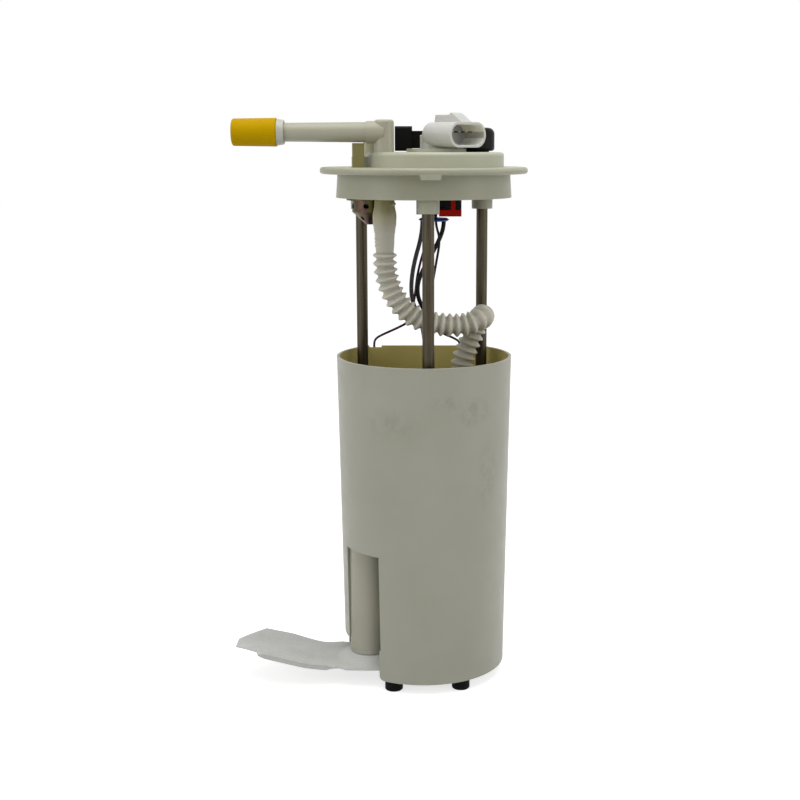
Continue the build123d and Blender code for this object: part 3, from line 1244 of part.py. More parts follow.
PIECES = [reservoir_shell, check_valve, valve_cage, jet_line, jet_nozzle, strainer_collar,
          strainer_sock, tank_cover, outlet_elbow, line_collar, shipping_cap,
          cover_connector, cover_terminals, pressure_sensor, sensor_pins, sensor_grommet,
          regulator_body, regulator_cap, regulator_diaphragm, regulator_spring,
          harness_plug, plug_lock, wire_seal, stop_rings, pump_can, pump_outlet_cap,
          pump_inlet_cap, pump_plate, pump_impeller, pump_shaft, pump_rotor,
          pump_commutator, pump_brushes, pump_magnets, pump_isolator, pump_spider,
          spider_rubber, inlet_screen, fuel_hose, sender_housing, sender_card,
          sender_wiper, arm_hub, float_arm, level_float]
WIRES = {
    "pump_feed_wire": (PUMP_FEED_ROUTE, THICK_WIRE_R),
    "pump_ground_wire": (PUMP_GROUND_ROUTE, THICK_WIRE_R),
    "level_signal_wire": (LEVEL_SIGNAL_ROUTE, THIN_WIRE_R),
    "level_ground_wire": (LEVEL_GROUND_ROUTE, THIN_WIRE_R),
}


def save(node, solid):
    """Write one sub-part to its file."""
    export_step(solid, f"parts/{node}.step")


for piece in PIECES:
    save(piece.__name__, piece())
for node, (route, radius) in WIRES.items():
    save(node, tube_along(route, radius))
for name, (x, y) in foot_places().items():
    save("foot_" + name, foot(x, y))
for name in ROD_ANGLES:
    save("guide_rod_" + name, guide_rod(name))
    save("spring_" + name, rod_spring(name))
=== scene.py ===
"""Looks of the fuel pump module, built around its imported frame, in metres."""

import json
import math

import bmesh
import bpy
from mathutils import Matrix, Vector, noise
from mathutils.bvhtree import BVHTree
from mathutils.interpolate import poly_3d_calc


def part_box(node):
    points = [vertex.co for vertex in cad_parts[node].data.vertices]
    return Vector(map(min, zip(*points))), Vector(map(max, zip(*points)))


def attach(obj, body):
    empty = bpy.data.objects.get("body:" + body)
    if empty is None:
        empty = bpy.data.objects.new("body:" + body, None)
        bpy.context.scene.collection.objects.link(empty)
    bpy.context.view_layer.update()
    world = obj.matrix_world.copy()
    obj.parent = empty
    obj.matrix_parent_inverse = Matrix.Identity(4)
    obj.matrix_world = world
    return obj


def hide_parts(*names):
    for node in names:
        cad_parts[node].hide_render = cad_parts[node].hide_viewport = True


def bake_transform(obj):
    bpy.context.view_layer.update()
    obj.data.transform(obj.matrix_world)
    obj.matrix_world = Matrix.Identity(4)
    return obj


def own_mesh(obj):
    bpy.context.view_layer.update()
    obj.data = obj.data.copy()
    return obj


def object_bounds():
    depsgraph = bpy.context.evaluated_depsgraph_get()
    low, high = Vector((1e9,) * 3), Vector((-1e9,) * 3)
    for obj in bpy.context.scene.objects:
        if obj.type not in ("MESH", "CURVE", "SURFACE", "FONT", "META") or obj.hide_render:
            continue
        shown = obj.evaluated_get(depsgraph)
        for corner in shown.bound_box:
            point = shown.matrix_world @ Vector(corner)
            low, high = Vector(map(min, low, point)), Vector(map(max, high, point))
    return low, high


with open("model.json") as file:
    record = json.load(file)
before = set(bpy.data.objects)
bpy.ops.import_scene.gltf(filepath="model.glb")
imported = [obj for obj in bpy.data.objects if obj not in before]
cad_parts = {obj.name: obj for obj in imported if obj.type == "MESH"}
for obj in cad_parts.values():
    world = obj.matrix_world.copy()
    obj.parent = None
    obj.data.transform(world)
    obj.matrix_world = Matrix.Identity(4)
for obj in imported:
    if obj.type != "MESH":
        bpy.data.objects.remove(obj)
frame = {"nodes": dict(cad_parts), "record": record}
NODES = frame["nodes"]
CAD_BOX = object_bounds()
BODY_OF = {node: body for body, nodes in frame["record"]["behaviour"]["bodies"].items()
           for node in nodes}
SLOT_OF = {s["node"]: s["material_slot"] for s in frame["record"]["subparts"]}
MM = 0.001

# Camera, at the photograph's viewpoint.
CAMERA_PLACE = (0.0063, -0.91626, 0.01759)
CAMERA_TILT = math.radians(10.634)
CAMERA_LENS = 59.05
CAMERA_SHIFT = (-0.0412, -0.0075)
CAMERA_SENSOR = 36.0
CAMERA_CLIP = 0.01

# Stage: half the floor's width, its grey, how much the view lifts it towards white, and the
# world's light on the object.
FLOOR_REACH = 8.0
FLOOR_GREY = 0.6
FLOOR_LIFT = 0.7
WORLD_LIGHT = 0.5

# Soft boxes: name, place, target, size and power.
LAMPS = [("top", (0.0, -0.25, 1.3), (0.0, 0.0, 0.0), 1.4, 17.5),
         ("left", (-1.4, -0.9, 0.35), (0.0, 0.0, -0.15), 1.0, 7.0),
         ("right", (1.5, -0.5, 0.3), (0.0, 0.0, -0.15), 1.0, 6.2)]

# Hose, in millimetres: a smooth route between its two spigots, and the radii of its smooth
# upper end by the distance along it.
HOSE_ROUTE = [(-26.4, -22.5, -6.0), (-26.4, -22.5, -40.0), (-26.4, -22.5, -74.0),
              (-8.0, -20.5, -99.0), (25.5, -16.0, -104.5), (42.3, -11.0, -98.0),
              (39.8, 11.5, -99.5), (32.5, 13.0, -118.5), (26.0, 12.5, -136.0),
              (27.0, 12.0, -160.0), (27.0, 12.0, -201.0)]
HOSE_CUFF = [(0.0, 6.7), (9.0, 6.7), (14.0, 6.9), (22.2, 8.1), (26.5, 7.95), (31.2, 7.3),
             (34.6, 6.75), (40.0, 6.5), (47.0, 6.0), (60.0, 6.0)]

# Its convolutions: radii at the crests and in the roots, how narrow the crests are, the pitch,
# how far along the first crest is, and half the length over which they fade out.
HOSE_CREST_R = 8.25
HOSE_ROOT_R = 5.8
HOSE_ROUNDNESS = 1.15
HOSE_PITCH = 5.3
HOSE_FIRST_CREST = 48.3
HOSE_FADE = 1.0

# The plain cuff at its lower end, and the step and the sides of its mesh.
HOSE_LOW_CUFF_R = 7.5
HOSE_LOW_CUFF_L = 32.0
HOSE_STEP = 0.5
HOSE_SIDES = 48

# Small bumps on its upper end: distance along, height, width, and the side in x that they are
# on; and how squarely the surface has to face that side for a bump to start and to be full.
HOSE_BUMPS = [(37.0, 0.55, 0.5, -1.0), (39.4, 0.5, 0.5, -1.0), (42.0, 0.5, 0.5, -1.0),
              (13.8, 0.9, 0.8, 1.0)]
HOSE_BUMP_FACING = (0.5, 0.95)

# Wires, in millimetres: their radii and routes, and the sides and the step of their meshes.
WIRES = {
    "pump_feed_wire": (1.5, [
        (-1.0, 0.5, -32.5), (-1.0, 0.5, -41.0), (-7.8, -2.0, -64.0), (-9.4, -2.0, -84.0),
        (-4.6, 0.5, -98.0), (0.6, 3.0, -112.0), (1.0, 2.0, -142.0), (8.5, -4.0, -176.0),
        (8.5, -4.0, -201.0)]),
    "pump_ground_wire": (1.5, [
        (13.8, 1.5, -32.5), (13.8, 1.5, -38.5), (7.0, 0.6, -53.0), (-3.6, -1.2, -71.0),
        (-5.0, -0.8, -84.0), (0.0, 2.8, -95.0), (5.6, 5.5, -110.0), (6.0, 7.0, -142.0),
        (8.0, 10.0, -176.0), (8.0, 10.0, -201.0)]),
    "level_signal_wire": (0.85, [
        (2.6, 1.5, -32.5), (2.6, 1.5, -44.0), (-4.6, 2.2, -68.0), (-6.4, 3.5, -86.0),
        (-10.0, 7.0, -103.5), (-19.5, 16.0, -109.5), (-30.0, 27.0, -115.5),
        (-35.6, 36.0, -119.6), (-37.6, 47.8, -125.2), (-36.6, 49.2, -140.0),
        (-24.0, 48.6, -168.0), (0.0, 48.6, -182.0), (0.0, 48.6, -196.0)]),
    "level_ground_wire": (0.85, [
        (8.4, -3.0, -32.5), (8.4, -3.0, -35.5), (11.4, -3.0, -45.0), (8.4, -2.6, -62.0),
        (4.6, 0.5, -84.0), (6.0, 8.0, -104.0), (13.0, 21.5, -114.2), (21.5, 34.0, -119.0),
        (27.0, 47.6, -124.6), (26.4, 49.2, -140.0), (20.0, 48.6, -166.0),
        (11.0, 48.6, -182.0), (11.0, 48.6, -196.0)]),
}
WIRE_SIDES = 16
WIRE_STEP = 1.2

# Steps of a smooth route between two of its points.
CURVE_STEPS = 24

# Strainer, in millimetres: its outline seen from above, by x and y.
SOCK_FRONT_EDGE = [(-134.0, -31.0), (-118.4, -37.8), (-117.0, -43.2), (-103.6, -44.3),
                   (-85.3, -44.7), (-63.5, -41.5), (-60.0, -40.6), (-54.5, -44.2),
                   (-40.0, -44.7), (-25.5, -44.7)]
SOCK_BACK_EDGE = [(-134.0, -16.0), (-117.1, 9.2), (-109.7, 8.6), (-97.0, 9.2),
                  (-80.6, 5.8), (-74.2, 5.2), (-67.9, 7.0), (-60.6, 9.4), (-57.6, 8.5),
                  (-40.0, 9.4), (-25.5, 9.4)]

# Its mesh: the step along, the rows across, and the angle from which an edge is sharp.
SOCK_STEP = 1.0
SOCK_ROWS = 52
SOCK_EDGE_ANGLE = 60.0

# Its felt: the solid's thickness, the bag's thickness at the seam and where it is full, the
# width over which it swells, how far past its two short ends the seam would lie, and how far
# the felt stays under the solid's faces.
SOCK_T = 4.0
SOCK_SEAM = 1.0
SOCK_FULL = 3.7
SOCK_SWELL = 7.0
SOCK_END = 2.0
SOCK_SKIN = 0.15

# The fuller lip of its front edge: its width, and where it starts and ends left of the axis.
SOCK_LIP = 2.0
SOCK_LIP_STARTS = (64.0, 70.0)
SOCK_LIP_ENDS = (112.0, 118.0)

# Around the well: where the bag starts to rise, left of the well's middle, and the height and
# the radii of the mound under the well's ring.
SOCK_BEND = 19.1
SOCK_MOUND = 4.3
SOCK_MOUND_R = (13.0, 24.0)

# Its wrinkles: waves by millimetre along and across, place in the noise, and height; what part
# of that shows; and the radii about the well and the width at the seam where they fade.
SOCK_WRINKLES = [(0.07, 0.10, 3.1, 0.55), (0.25, 0.22, 7.7, 0.16)]
SOCK_DENT = 0.6
SOCK_CALM_R = (14.0, 30.0)
SOCK_CALM_EDGE = 3.0

# Springs, in millimetres: the wire's radius, the turns, the steps of one turn, and the sides.
SPRING_WIRE_R = 0.6
SPRING_TURNS = 7
SPRING_STEPS = 28
SPRING_SIDES = 10

# Softened copies: the width of the softened edges by node, the segments across them, the angle
# from which an edge is softened, the gap up to which corners are welded, and the angle up to
# which faces are one.
BEVELS = {"reservoir_shell": 0.4, "tank_cover": 0.4, "cover_connector": 0.3,
          "outlet_elbow": 0.3, "line_collar": 0.25, "shipping_cap": 0.3,
          "pressure_sensor": 0.3, "harness_plug": 0.3, "plug_lock": 0.25, "wire_seal": 0.2,
          "sender_housing": 0.3, "arm_hub": 0.25, "strainer_collar": 0.25,
          "level_float": 0.5}
BEVEL_SEGMENTS = 3
EDGE_ANGLE = 38.0
WELD_GAP = 0.002
FLAT_ANGLE = 0.1

# Their normals: what share of the way into its face a corner is moved before its CAD surface
# is looked for, how near in millimetres and how parallel that surface has to be, and how
# parallel a rounded edge has to be to take the normal of the face beside it.
NORMAL_INSET = 0.04
NORMAL_GAP = 0.04
NORMAL_DOT = 0.995
ROUNDED_DOT = 0.6

# Inside of the bucket, which takes a painted shade tone, in millimetres: a point on the pump's
# axis, which every inside face sees straight across, and the heights of the floor and the rim.
BUCKET_MIDDLE = (17.0, 5.0)
BUCKET_FLOOR_Z = -340.0
BUCKET_RIM_Z = -128.9

# The recess under the window, which takes painted light: its top, its radius about the origin,
# and the well in it.
RECESS_TOP_Z = -259.5
RECESS_R = 55.5
WELL_MIDDLE = (-38.84, -18.44)
WELL_R = 14.3

# How far off a face a look from it starts, and how deep the connector's mouth is at most.
OFF_FACE = 0.05
MOUTH_REACH = 25.0

# Smudges on the bucket, in millimetres: middle, size along each axis, and how dark. The last is
# no smudge but painted shade for a small notch by the rim.
SMUDGES_AND_NOTCH_SHADE = [((14.0, -60.0, -150.0), (13.0, 20.0, 7.0), 0.55),
           ((34.0, -50.0, -158.0), (15.0, 25.0, 12.0), 0.6),
           ((-22.0, -56.0, -165.0), (30.0, 20.0, 14.0), 0.35),
           ((44.0, -42.0, -205.0), (9.0, 25.0, 30.0), 0.4),
           # Painted shade of a small notch by the rim.
           ((-59.0, -16.5, -136.0), (3.0, 4.0, 3.5), 1.0)]

# Places on top of the cover whose walls take painted shade (the post) and painted light (the
# turret and the rest), in millimetres: all above the flange's top, and there the outlet post's
# corners, and the turret's middle and radius.
FLANGE_TOP_Z = 4.7
POST_BOX = ((-48.0, -25.2), (-39.7, -19.8))
TURRET_MIDDLE = (-33.0, -1.0)
TURRET_R = 8.7

# Moulded plastics: light tone, dark tone, roughness, and what else sets them apart.
PLASTICS = {
    "reservoir_plastic": ((156, 156, 143), (150, 150, 136), 0.40,
                          {"glow": 0.12, "scuffs": (142, 140, 126), "gloss": 0.35,
                           "marks": SMUDGES_AND_NOTCH_SHADE}),
    # The bucket's inside: a yellow painted shade tone, for the shade and the yellow bounce
    # light inside it.
    "reservoir_inside_painted_shade": ((207, 195, 126), (199, 186, 116), 0.45,
                         {"glow": 0.12, "gloss": 0.25}),
    # The recess: a lighter tone of painted light, for light that comes through its thin wall.
    "reservoir_recess_painted_light": ((166, 165, 150), (160, 158, 141), 0.42,
                         {"glow": 0.6, "gloss": 0.3}),
    # The cover's raised middle: a paler tone of painted light on its lit top.
    "plateau_painted_light": ((176, 177, 158), (169, 169, 149), 0.42,
                        {"glow": 0.12, "gloss": 0.35}),
    "cover_plastic": ((159, 159, 140), (152, 151, 131), 0.42, {"glow": 0.12, "gloss": 0.35}),
    # The outlet post: an olive painted shade tone, for the shade under the pipe.
    "post_painted_shade": ((128, 121, 70), (118, 111, 60), 0.40, {"glow": 0.12}),
    # The turret: a paler tone of painted light, against the shadow that the connector and the
    # outlet cast on it.
    "turret_painted_light": ((186, 184, 153), (178, 175, 142), 0.40, {"glow": 0.12}),
    "outlet_plastic": ((162, 160, 142), (155, 153, 133), 0.36, {"glow": 0.12, "gloss": 0.4}),
    "collar_plastic": ((178, 177, 166), (166, 165, 153), 0.36, {}),
    "cap_plastic": ((186, 150, 0), (178, 140, 0), 0.5, {"gloss": 0.03}),
    "connector_plastic": ((190, 190, 186), (183, 183, 178), 0.32, {"glow": 0.4}),
    # The connector's mouth: a paler tone of painted light on the faces inside it.
    "connector_inside_painted_light": ((238, 238, 233), (232, 231, 225), 0.4, {"glow": 0.4, "gloss": 0.2}),
    "black_plastic": ((12, 12, 10), (7, 7, 6), 0.45, {"gloss": 0.1}),
    "sender_plastic": ((30, 30, 28), (22, 22, 21), 0.45, {"gloss": 0.3}),
    "red_plastic": ((168, 20, 5), (150, 14, 3), 0.4, {"gloss": 0.08}),
    "pump_plastic": ((162, 160, 148), (152, 150, 136), 0.42, {"glow": 0.1}),
    "card": ((178, 177, 169), (166, 165, 157), 0.5, {}),
    "carbon": ((30, 30, 30), (20, 20, 20), 0.5, {}),
    "wire_black": ((20, 18, 20), (12, 11, 13), 0.5, {"gloss": 0.15}),
    "wire_grey": ((50, 48, 50), (38, 37, 40), 0.5, {"gloss": 0.3}),
    "wire_purple": ((58, 18, 46), (44, 10, 36), 0.5, {"gloss": 0.1}),
}
# Tone of the smudges and of the notch's painted shade.
SMUDGE_AND_SHADE_TONE = (122, 117, 104)

# Metals: light tone, dark tone, roughness, and how their fine lines are stretched.
ALONG_Z = (1.0, 1.0, 0.02)
ACROSS_Z = (0.02, 0.02, 1.0)
EVEN = (1.0, 1.0, 1.0)
METALS = {
    "rod_steel": ((82, 75, 62), (58, 52, 42), 0.36, ALONG_Z),
    "spring_steel": ((150, 150, 148), (112, 112, 110), 0.3, ALONG_Z),
    "pump_steel": ((166, 166, 162), (134, 134, 130), 0.32, ALONG_Z),
    "arm_steel": ((166, 166, 162), (130, 130, 126), 0.28, ALONG_Z),
    "terminal_metal": ((140, 132, 112), (104, 98, 82), 0.3, ALONG_Z),
    "brass": ((180, 150, 84), (150, 120, 60), 0.3, ALONG_Z),
    "copper": ((176, 116, 74), (144, 88, 52), 0.32, ALONG_Z),
    "motor_core": ((98, 98, 98), (68, 68, 68), 0.42, ACROSS_Z),
    "magnet": ((74, 74, 76), (52, 52, 54), 0.5, EVEN),
}

# Rubbers: light tone, dark tone, roughness and gloss.
RUBBERS = {"seal_rubber": ((26, 62, 138), (18, 48, 112), 0.5, 0.2),
           "black_rubber": ((11, 11, 9), (6, 6, 5), 0.6, 0.08)}


def linear(channel):
    """An sRGB channel from 0 to 255 as linear light."""
    c = channel / 255.0
    return c / 12.92 if c <= 0.04045 else ((c + 0.055) / 1.055) ** 2.4


def rgb(r, g, b):
    """Linear colour with alpha, from sRGB channels."""
    return (linear(r), linear(g), linear(b), 1.0)


class Shader:
    """A material with one Principled shader, and short ways to add nodes to it."""

    def __init__(self, name):
        self.material = bpy.data.materials.new(name)
        self.material.use_nodes = True
        self.tree = self.material.node_tree
        self.shader = self.tree.nodes["Principled BSDF"]
        self.place = self.node("ShaderNodeTexCoord").outputs["Object"]

    def node(self, kind, **values):
        made = self.tree.nodes.new(kind)
        for key, value in values.items():
            setattr(made, key, value)
        return made

    def link(self, a, b):
        self.tree.links.new(a, b)

    def set(self, **values):
        for key, value in values.items():
            self.shader.inputs[key.replace("_", " ")].default_value = value

    def stretched(self, scale):
        """Object coordinates scaled by a vector."""
        mapping = self.node("ShaderNodeMapping")
        mapping.inputs["Scale"].default_value = scale
        self.link(self.place, mapping.inputs["Vector"])
        return mapping.outputs["Vector"]

    def noise(self, scale, detail=4.0, rough=0.55, vector=None):
        made = self.node("ShaderNodeTexNoise")
        made.inputs["Scale"].default_value = scale
        made.inputs["Detail"].default_value = detail
        made.inputs["Roughness"].default_value = rough
        self.link(vector or self.place, made.inputs["Vector"])
        return made.outputs["Fac"]

    def ramp(self, value, stops):
        """Colour ramp: stops are (position, colour)."""
        made = self.node("ShaderNodeValToRGB")
        points = made.color_ramp.elements
        for i, (at, colour) in enumerate(stops):
            point = points[i] if i < 2 else points.new(at)
            point.position = at
            point.color = colour
        self.link(value, made.inputs["Fac"])
        return made.outputs["Color"]

    def spread(self, value, low, high, start=0.0, end=1.0):
        """Map a value from start..end to low..high."""
        made = self.node("ShaderNodeMapRange")
        for key, number in (("From Min", start), ("From Max", end), ("To Min", low),
                            ("To Max", high)):
            made.inputs[key].default_value = number
        self.link(value, made.inputs["Value"])
        return made.outputs["Result"]

    def mix(self, factor, a, b):
        made = self.node("ShaderNodeMix", data_type="RGBA")
        for key, value in (("Factor", factor), ("A", a), ("B", b)):
            socket = [s for s in made.inputs if s.name == key and (
                s.type == "VALUE" if key == "Factor" else s.type == "RGBA")][0]
            if isinstance(value, bpy.types.NodeSocket):
                self.link(value, socket)
            else:
                socket.default_value = value
        return [s for s in made.outputs if s.type == "RGBA"][0]

    def colour(self, socket):
        self.link(socket, self.shader.inputs["Base Color"])

    def rough(self, socket):
        self.link(socket, self.shader.inputs["Roughness"])

    def bump(self, height, strength, distance):
        """Add a bump on top of the one before."""
        made = self.node("ShaderNodeBump")
        made.inputs["Strength"].default_value = strength
        made.inputs["Distance"].default_value = distance
        self.link(height, made.inputs["Height"])
        before = self.shader.inputs["Normal"]
        if before.is_linked:
            self.link(before.links[0].from_socket, made.inputs["Normal"])
        self.link(made.outputs["Normal"], before)


def moulded(name, light, dark, rough, glow=0.0, gloss=0.5, scuffs=None, marks=()):
    """Moulded plastic: slow drift between two tones, fine speckle, and a faint orange peel."""
    m = Shader(name)
    drift = m.noise(22.0, 3.0, 0.5)
    tone = m.ramp(drift, [(0.3, rgb(*dark)), (0.7, rgb(*light))])
    speckle = m.noise(1400.0, 2.0, 0.6)
    tone = m.mix(m.spread(speckle, 0.0, 0.12, 0.35, 0.75), tone, rgb(*dark))
    if scuffs:
        streaks = m.noise(60.0, 6.0, 0.7, m.stretched((1.0, 1.0, 0.35)))
        tone = m.mix(m.spread(streaks, 0.0, 0.3, 0.62, 0.78), tone, rgb(*scuffs))
    if marks:
        tone = smudged_and_shaded(m, tone, marks)
    m.colour(tone)
    m.rough(m.spread(m.noise(90.0, 4.0), rough - 0.06, rough + 0.08, 0.3, 0.7))
    m.bump(m.noise(30.0, 2.0), 0.12, 1.2 * MM)
    m.bump(m.noise(2200.0, 3.0), 0.25, 0.03 * MM)
    m.set(IOR=1.5, Specular_IOR_Level=gloss)
    if glow:
        m.set(Subsurface_Weight=glow, Subsurface_Scale=1.0 * MM,
              Subsurface_Radius=(4.0, 3.4, 2.0))
    return m.material


def smudged_and_shaded(m, tone, marks):
    """The tone with faint dirt and painted shade in soft patches around given places."""
    cloud = m.noise(160.0, 6.0, 0.75, m.stretched((1.0, 1.0, 0.6)))
    for middle, size, depth in marks:
        away = m.node("ShaderNodeMapping")
        away.inputs["Location"].default_value = [-c / s for c, s in zip(middle, size)]
        away.inputs["Scale"].default_value = [1.0 / (s * MM) for s in size]
        m.link(m.place, away.inputs["Vector"])
        gap = m.node("ShaderNodeVectorMath", operation="LENGTH")
        m.link(away.outputs["Vector"], gap.inputs[0])
        near = m.spread(gap.outputs["Value"], depth, 0.0, 0.3, 1.0)
        patch = m.node("ShaderNodeMath", operation="MULTIPLY")
        m.link(near, patch.inputs[0])
        m.link(m.spread(cloud, 0.0, 1.0, 0.42, 0.68), patch.inputs[1])
        tone = m.mix(patch.outputs[0], tone, rgb(*SMUDGE_AND_SHADE_TONE))
    return tone


def metal(name, light, dark, rough, stretch):
    """Drawn or turned metal, with fine lines along its stretch and dull patches."""
    m = Shader(name)
    brushed = m.noise(2600.0, 3.0, 0.6, m.stretched(stretch))
    patches = m.noise(70.0, 4.0, 0.6)
    tone = m.ramp(brushed, [(0.3, rgb(*dark)), (0.7, rgb(*light))])
    m.colour(m.mix(m.spread(patches, 0.0, 0.35, 0.45, 0.75), tone, rgb(*dark)))
    m.set(Metallic=1.0)
    m.rough(m.spread(brushed, rough - 0.08, rough + 0.1, 0.3, 0.7))
    m.bump(brushed, 0.15, 0.02 * MM)
    return m.material


def zinc(name):
    """Yellow zinc plate, with the pink, green and olive tints of its thin film."""
    m = Shader(name)
    film = m.noise(95.0, 3.0, 0.5)
    m.colour(m.ramp(film, [(0.30, rgb(84, 80, 28)), (0.42, rgb(74, 68, 46)),
                           (0.52, rgb(86, 62, 56)), (0.62, rgb(50, 42, 42)),
                           (0.72, rgb(96, 56, 30))]))
    m.set(Metallic=0.85)
    m.rough(m.spread(m.noise(300.0, 4.0), 0.25, 0.45, 0.3, 0.7))
    m.bump(m.noise(1500.0, 3.0), 0.15, 0.03 * MM)
    return m.material


def rubber(name, light, dark, rough, gloss):
    """Dull rubber with a fine matt grain."""
    m = Shader(name)
    m.colour(m.ramp(m.noise(160.0, 5.0), [(0.3, rgb(*dark)), (0.75, rgb(*light))]))
    m.rough(m.spread(m.noise(700.0, 3.0), rough - 0.1, rough + 0.15, 0.3, 0.7))
    m.bump(m.noise(1800.0, 3.0), 0.35, 0.05 * MM)
    m.set(Specular_IOR_Level=gloss)
    return m.material


def felt(name):
    """Non-woven felt: fibres that cross one another, over soft clouds."""
    m = Shader(name)
    clouds = m.noise(45.0, 5.0, 0.6)
    fibres = m.noise(900.0, 6.0, 0.75, m.stretched((1.0, 0.12, 1.0)))
    crossed = m.noise(900.0, 6.0, 0.75, m.stretched((0.12, 1.0, 1.0)))
    tone = m.ramp(clouds, [(0.3, rgb(172, 172, 167)), (0.7, rgb(188, 189, 185))])
    tone = m.mix(m.spread(fibres, 0.0, 0.35, 0.4, 0.75), tone, rgb(206, 207, 204))
    tone = m.mix(m.spread(crossed, 0.0, 0.30, 0.4, 0.75), tone, rgb(152, 152, 147))
    m.colour(tone)
    m.rough(m.spread(fibres, 0.8, 0.95))
    m.bump(fibres, 0.35, 0.12 * MM)
    m.bump(crossed, 0.35, 0.12 * MM)
    m.bump(clouds, 0.4, 0.5 * MM)
    m.set(Sheen_Weight=0.25, Sheen_Roughness=0.5)
    return m.material


def hose_film(name):
    """Thin natural nylon of the hose: cloudy, translucent, and with a yellow painted shade up
    on the barb.
    """
    m = Shader(name)
    clouds = m.noise(40.0, 4.0, 0.55)
    tone = m.ramp(clouds, [(0.3, rgb(176, 173, 159)), (0.7, rgb(184, 181, 169))])
    height = m.node("ShaderNodeSeparateXYZ")
    m.link(m.place, height.inputs[0])
    # Painted shade: the hose turns yellower towards the top of the barb, under the cover's
    # skirt.
    painted_shade_on_barb = m.spread(height.outputs["Z"], 0.0, 1.0, -40.0 * MM, -18.0 * MM)
    tone = m.mix(painted_shade_on_barb, tone, rgb(148, 142, 92))
    m.colour(tone)
    m.rough(m.spread(m.noise(120.0, 4.0), 0.30, 0.44, 0.3, 0.7))
    m.bump(m.noise(500.0, 3.0), 0.2, 0.05 * MM)
    m.set(IOR=1.5, Specular_IOR_Level=0.35, Subsurface_Weight=0.9,
          Subsurface_Scale=1.0 * MM, Subsurface_Radius=(6.0, 5.4, 4.0))
    return m.material


def foam(name):
    """Closed-cell foam, nearly black, with small open pores."""
    m = Shader(name)
    cells = m.node("ShaderNodeTexVoronoi")
    cells.inputs["Scale"].default_value = 1500.0
    m.link(m.place, cells.inputs["Vector"])
    pores = cells.outputs["Distance"]
    m.colour(m.ramp(pores, [(0.0, rgb(20, 20, 20)), (0.6, rgb(48, 47, 45))]))
    m.rough(m.spread(m.noise(500.0), 0.65, 0.85, 0.3, 0.7))
    m.bump(pores, 0.5, 0.15 * MM)
    return m.material


def make_materials():
    """Every finish by its name: the record's slots, and the tones of painted shade and painted
    light that three pieces add.
    """
    made = {name: moulded(name, light, dark, rough, **more)
            for name, (light, dark, rough, more) in PLASTICS.items()}
    made.update({name: metal(name, *looks) for name, looks in METALS.items()})
    made.update({name: rubber(name, *looks) for name, looks in RUBBERS.items()})
    made["hose_plastic"] = hose_film("hose_plastic")
    made["regulator_zinc"] = zinc("regulator_zinc")
    made["felt"] = felt("felt")
    made["float_foam"] = foam("float_foam")
    return made


MATERIALS = make_materials()
REPLACED = set()


def add_object(name, mesh):
    """New object in the scene's collection."""
    made = bpy.data.objects.new(name, mesh)
    bpy.context.scene.collection.objects.link(made)
    return made


def freeze(piece):
    """Apply every modifier of a piece."""
    graph = bpy.context.evaluated_depsgraph_get()
    final = bpy.data.meshes.new_from_object(piece.evaluated_get(graph),
                                            preserve_all_data_layers=True, depsgraph=graph)
    piece.modifiers.clear()
    piece.data = final


def paint(piece, slot, *others):
    """Give a piece its slot's finish, and other finishes in the slots after it."""
    piece.data.materials.clear()
    for key in (slot, *others):
        piece.data.materials.append(MATERIALS[key])


def stand_for(node):
    """The piece takes the place of a CAD node."""
    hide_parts(node)
    REPLACED.add(node)


def exact_normals(mesh, source):
    """Give unrounded faces the CAD surface's own normals, so that nothing streaks."""
    source.calc_loop_triangles()
    triangles = source.loop_triangles
    places = [v.co for v in source.vertices]
    tree = BVHTree.FromPolygons(places, [tuple(t.vertices) for t in triangles])
    exact = [n.vector for n in source.corner_normals]
    normals = [n.vector.copy() for n in mesh.corner_normals]
    at_vertex = {}
    found = set()
    for face in mesh.polygons:
        for loop in face.loop_indices:
            vertex = mesh.loops[loop].vertex_index
            place = mesh.vertices[vertex].co.lerp(face.center, NORMAL_INSET)
            hit, facing, index, gap = tree.find_nearest(place)
            if index is None or gap > NORMAL_GAP * MM or facing.dot(face.normal) < NORMAL_DOT:
                continue
            triangle = triangles[index]
            share = poly_3d_calc([places[v] for v in triangle.vertices], hit)
            smooth = sum((exact[c] * w for c, w in zip(triangle.loops, share)), Vector())
            normals[loop] = smooth.normalized()
            found.add(loop)
            at_vertex.setdefault(vertex, []).append(normals[loop])
    for face in mesh.polygons:
        for loop in face.loop_indices:
            known = at_vertex.get(mesh.loops[loop].vertex_index)
            if loop in found or not known:
                continue
            best = max(known, key=face.normal.dot)
            if best.dot(face.normal) > ROUNDED_DOT:
                normals[loop] = best
    mesh.normals_split_custom_set(normals)


def dress(node, *tones):
    """Copy of a rigid node with softened edges, which stands for it, and its added tones."""
    source = NODES[node].data
    mesh = source.copy()
    shape = bmesh.new()
    shape.from_mesh(mesh)
    bmesh.ops.remove_doubles(shape, verts=shape.verts, dist=WELD_GAP * MM)
    bmesh.ops.dissolve_limit(shape, angle_limit=math.radians(FLAT_ANGLE), verts=shape.verts,
                             edges=shape.edges, delimit={"NORMAL"})
    shape.to_mesh(mesh)
    shape.free()
    piece = add_object(node + "_skin", mesh)
    soften = piece.modifiers.new("soften", "BEVEL")
    soften.width = BEVELS[node] * MM
    soften.segments = BEVEL_SEGMENTS
    soften.limit_method = "ANGLE"
    soften.angle_limit = math.radians(EDGE_ANGLE)
    soften.harden_normals = False
    freeze(piece)
    piece.data.shade_smooth()
    piece.data.set_sharp_from_angle(angle=math.radians(EDGE_ANGLE))
    exact_normals(piece.data, source)
    paint(piece, SLOT_OF[node], *tones)
    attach(piece, BODY_OF[node])
    stand_for(node)
    return piece


def face_tree(mesh):
    """Search tree over a mesh's faces."""
    return BVHTree.FromPolygons([v.co for v in mesh.vertices],
                                [tuple(p.vertices) for p in mesh.polygons])


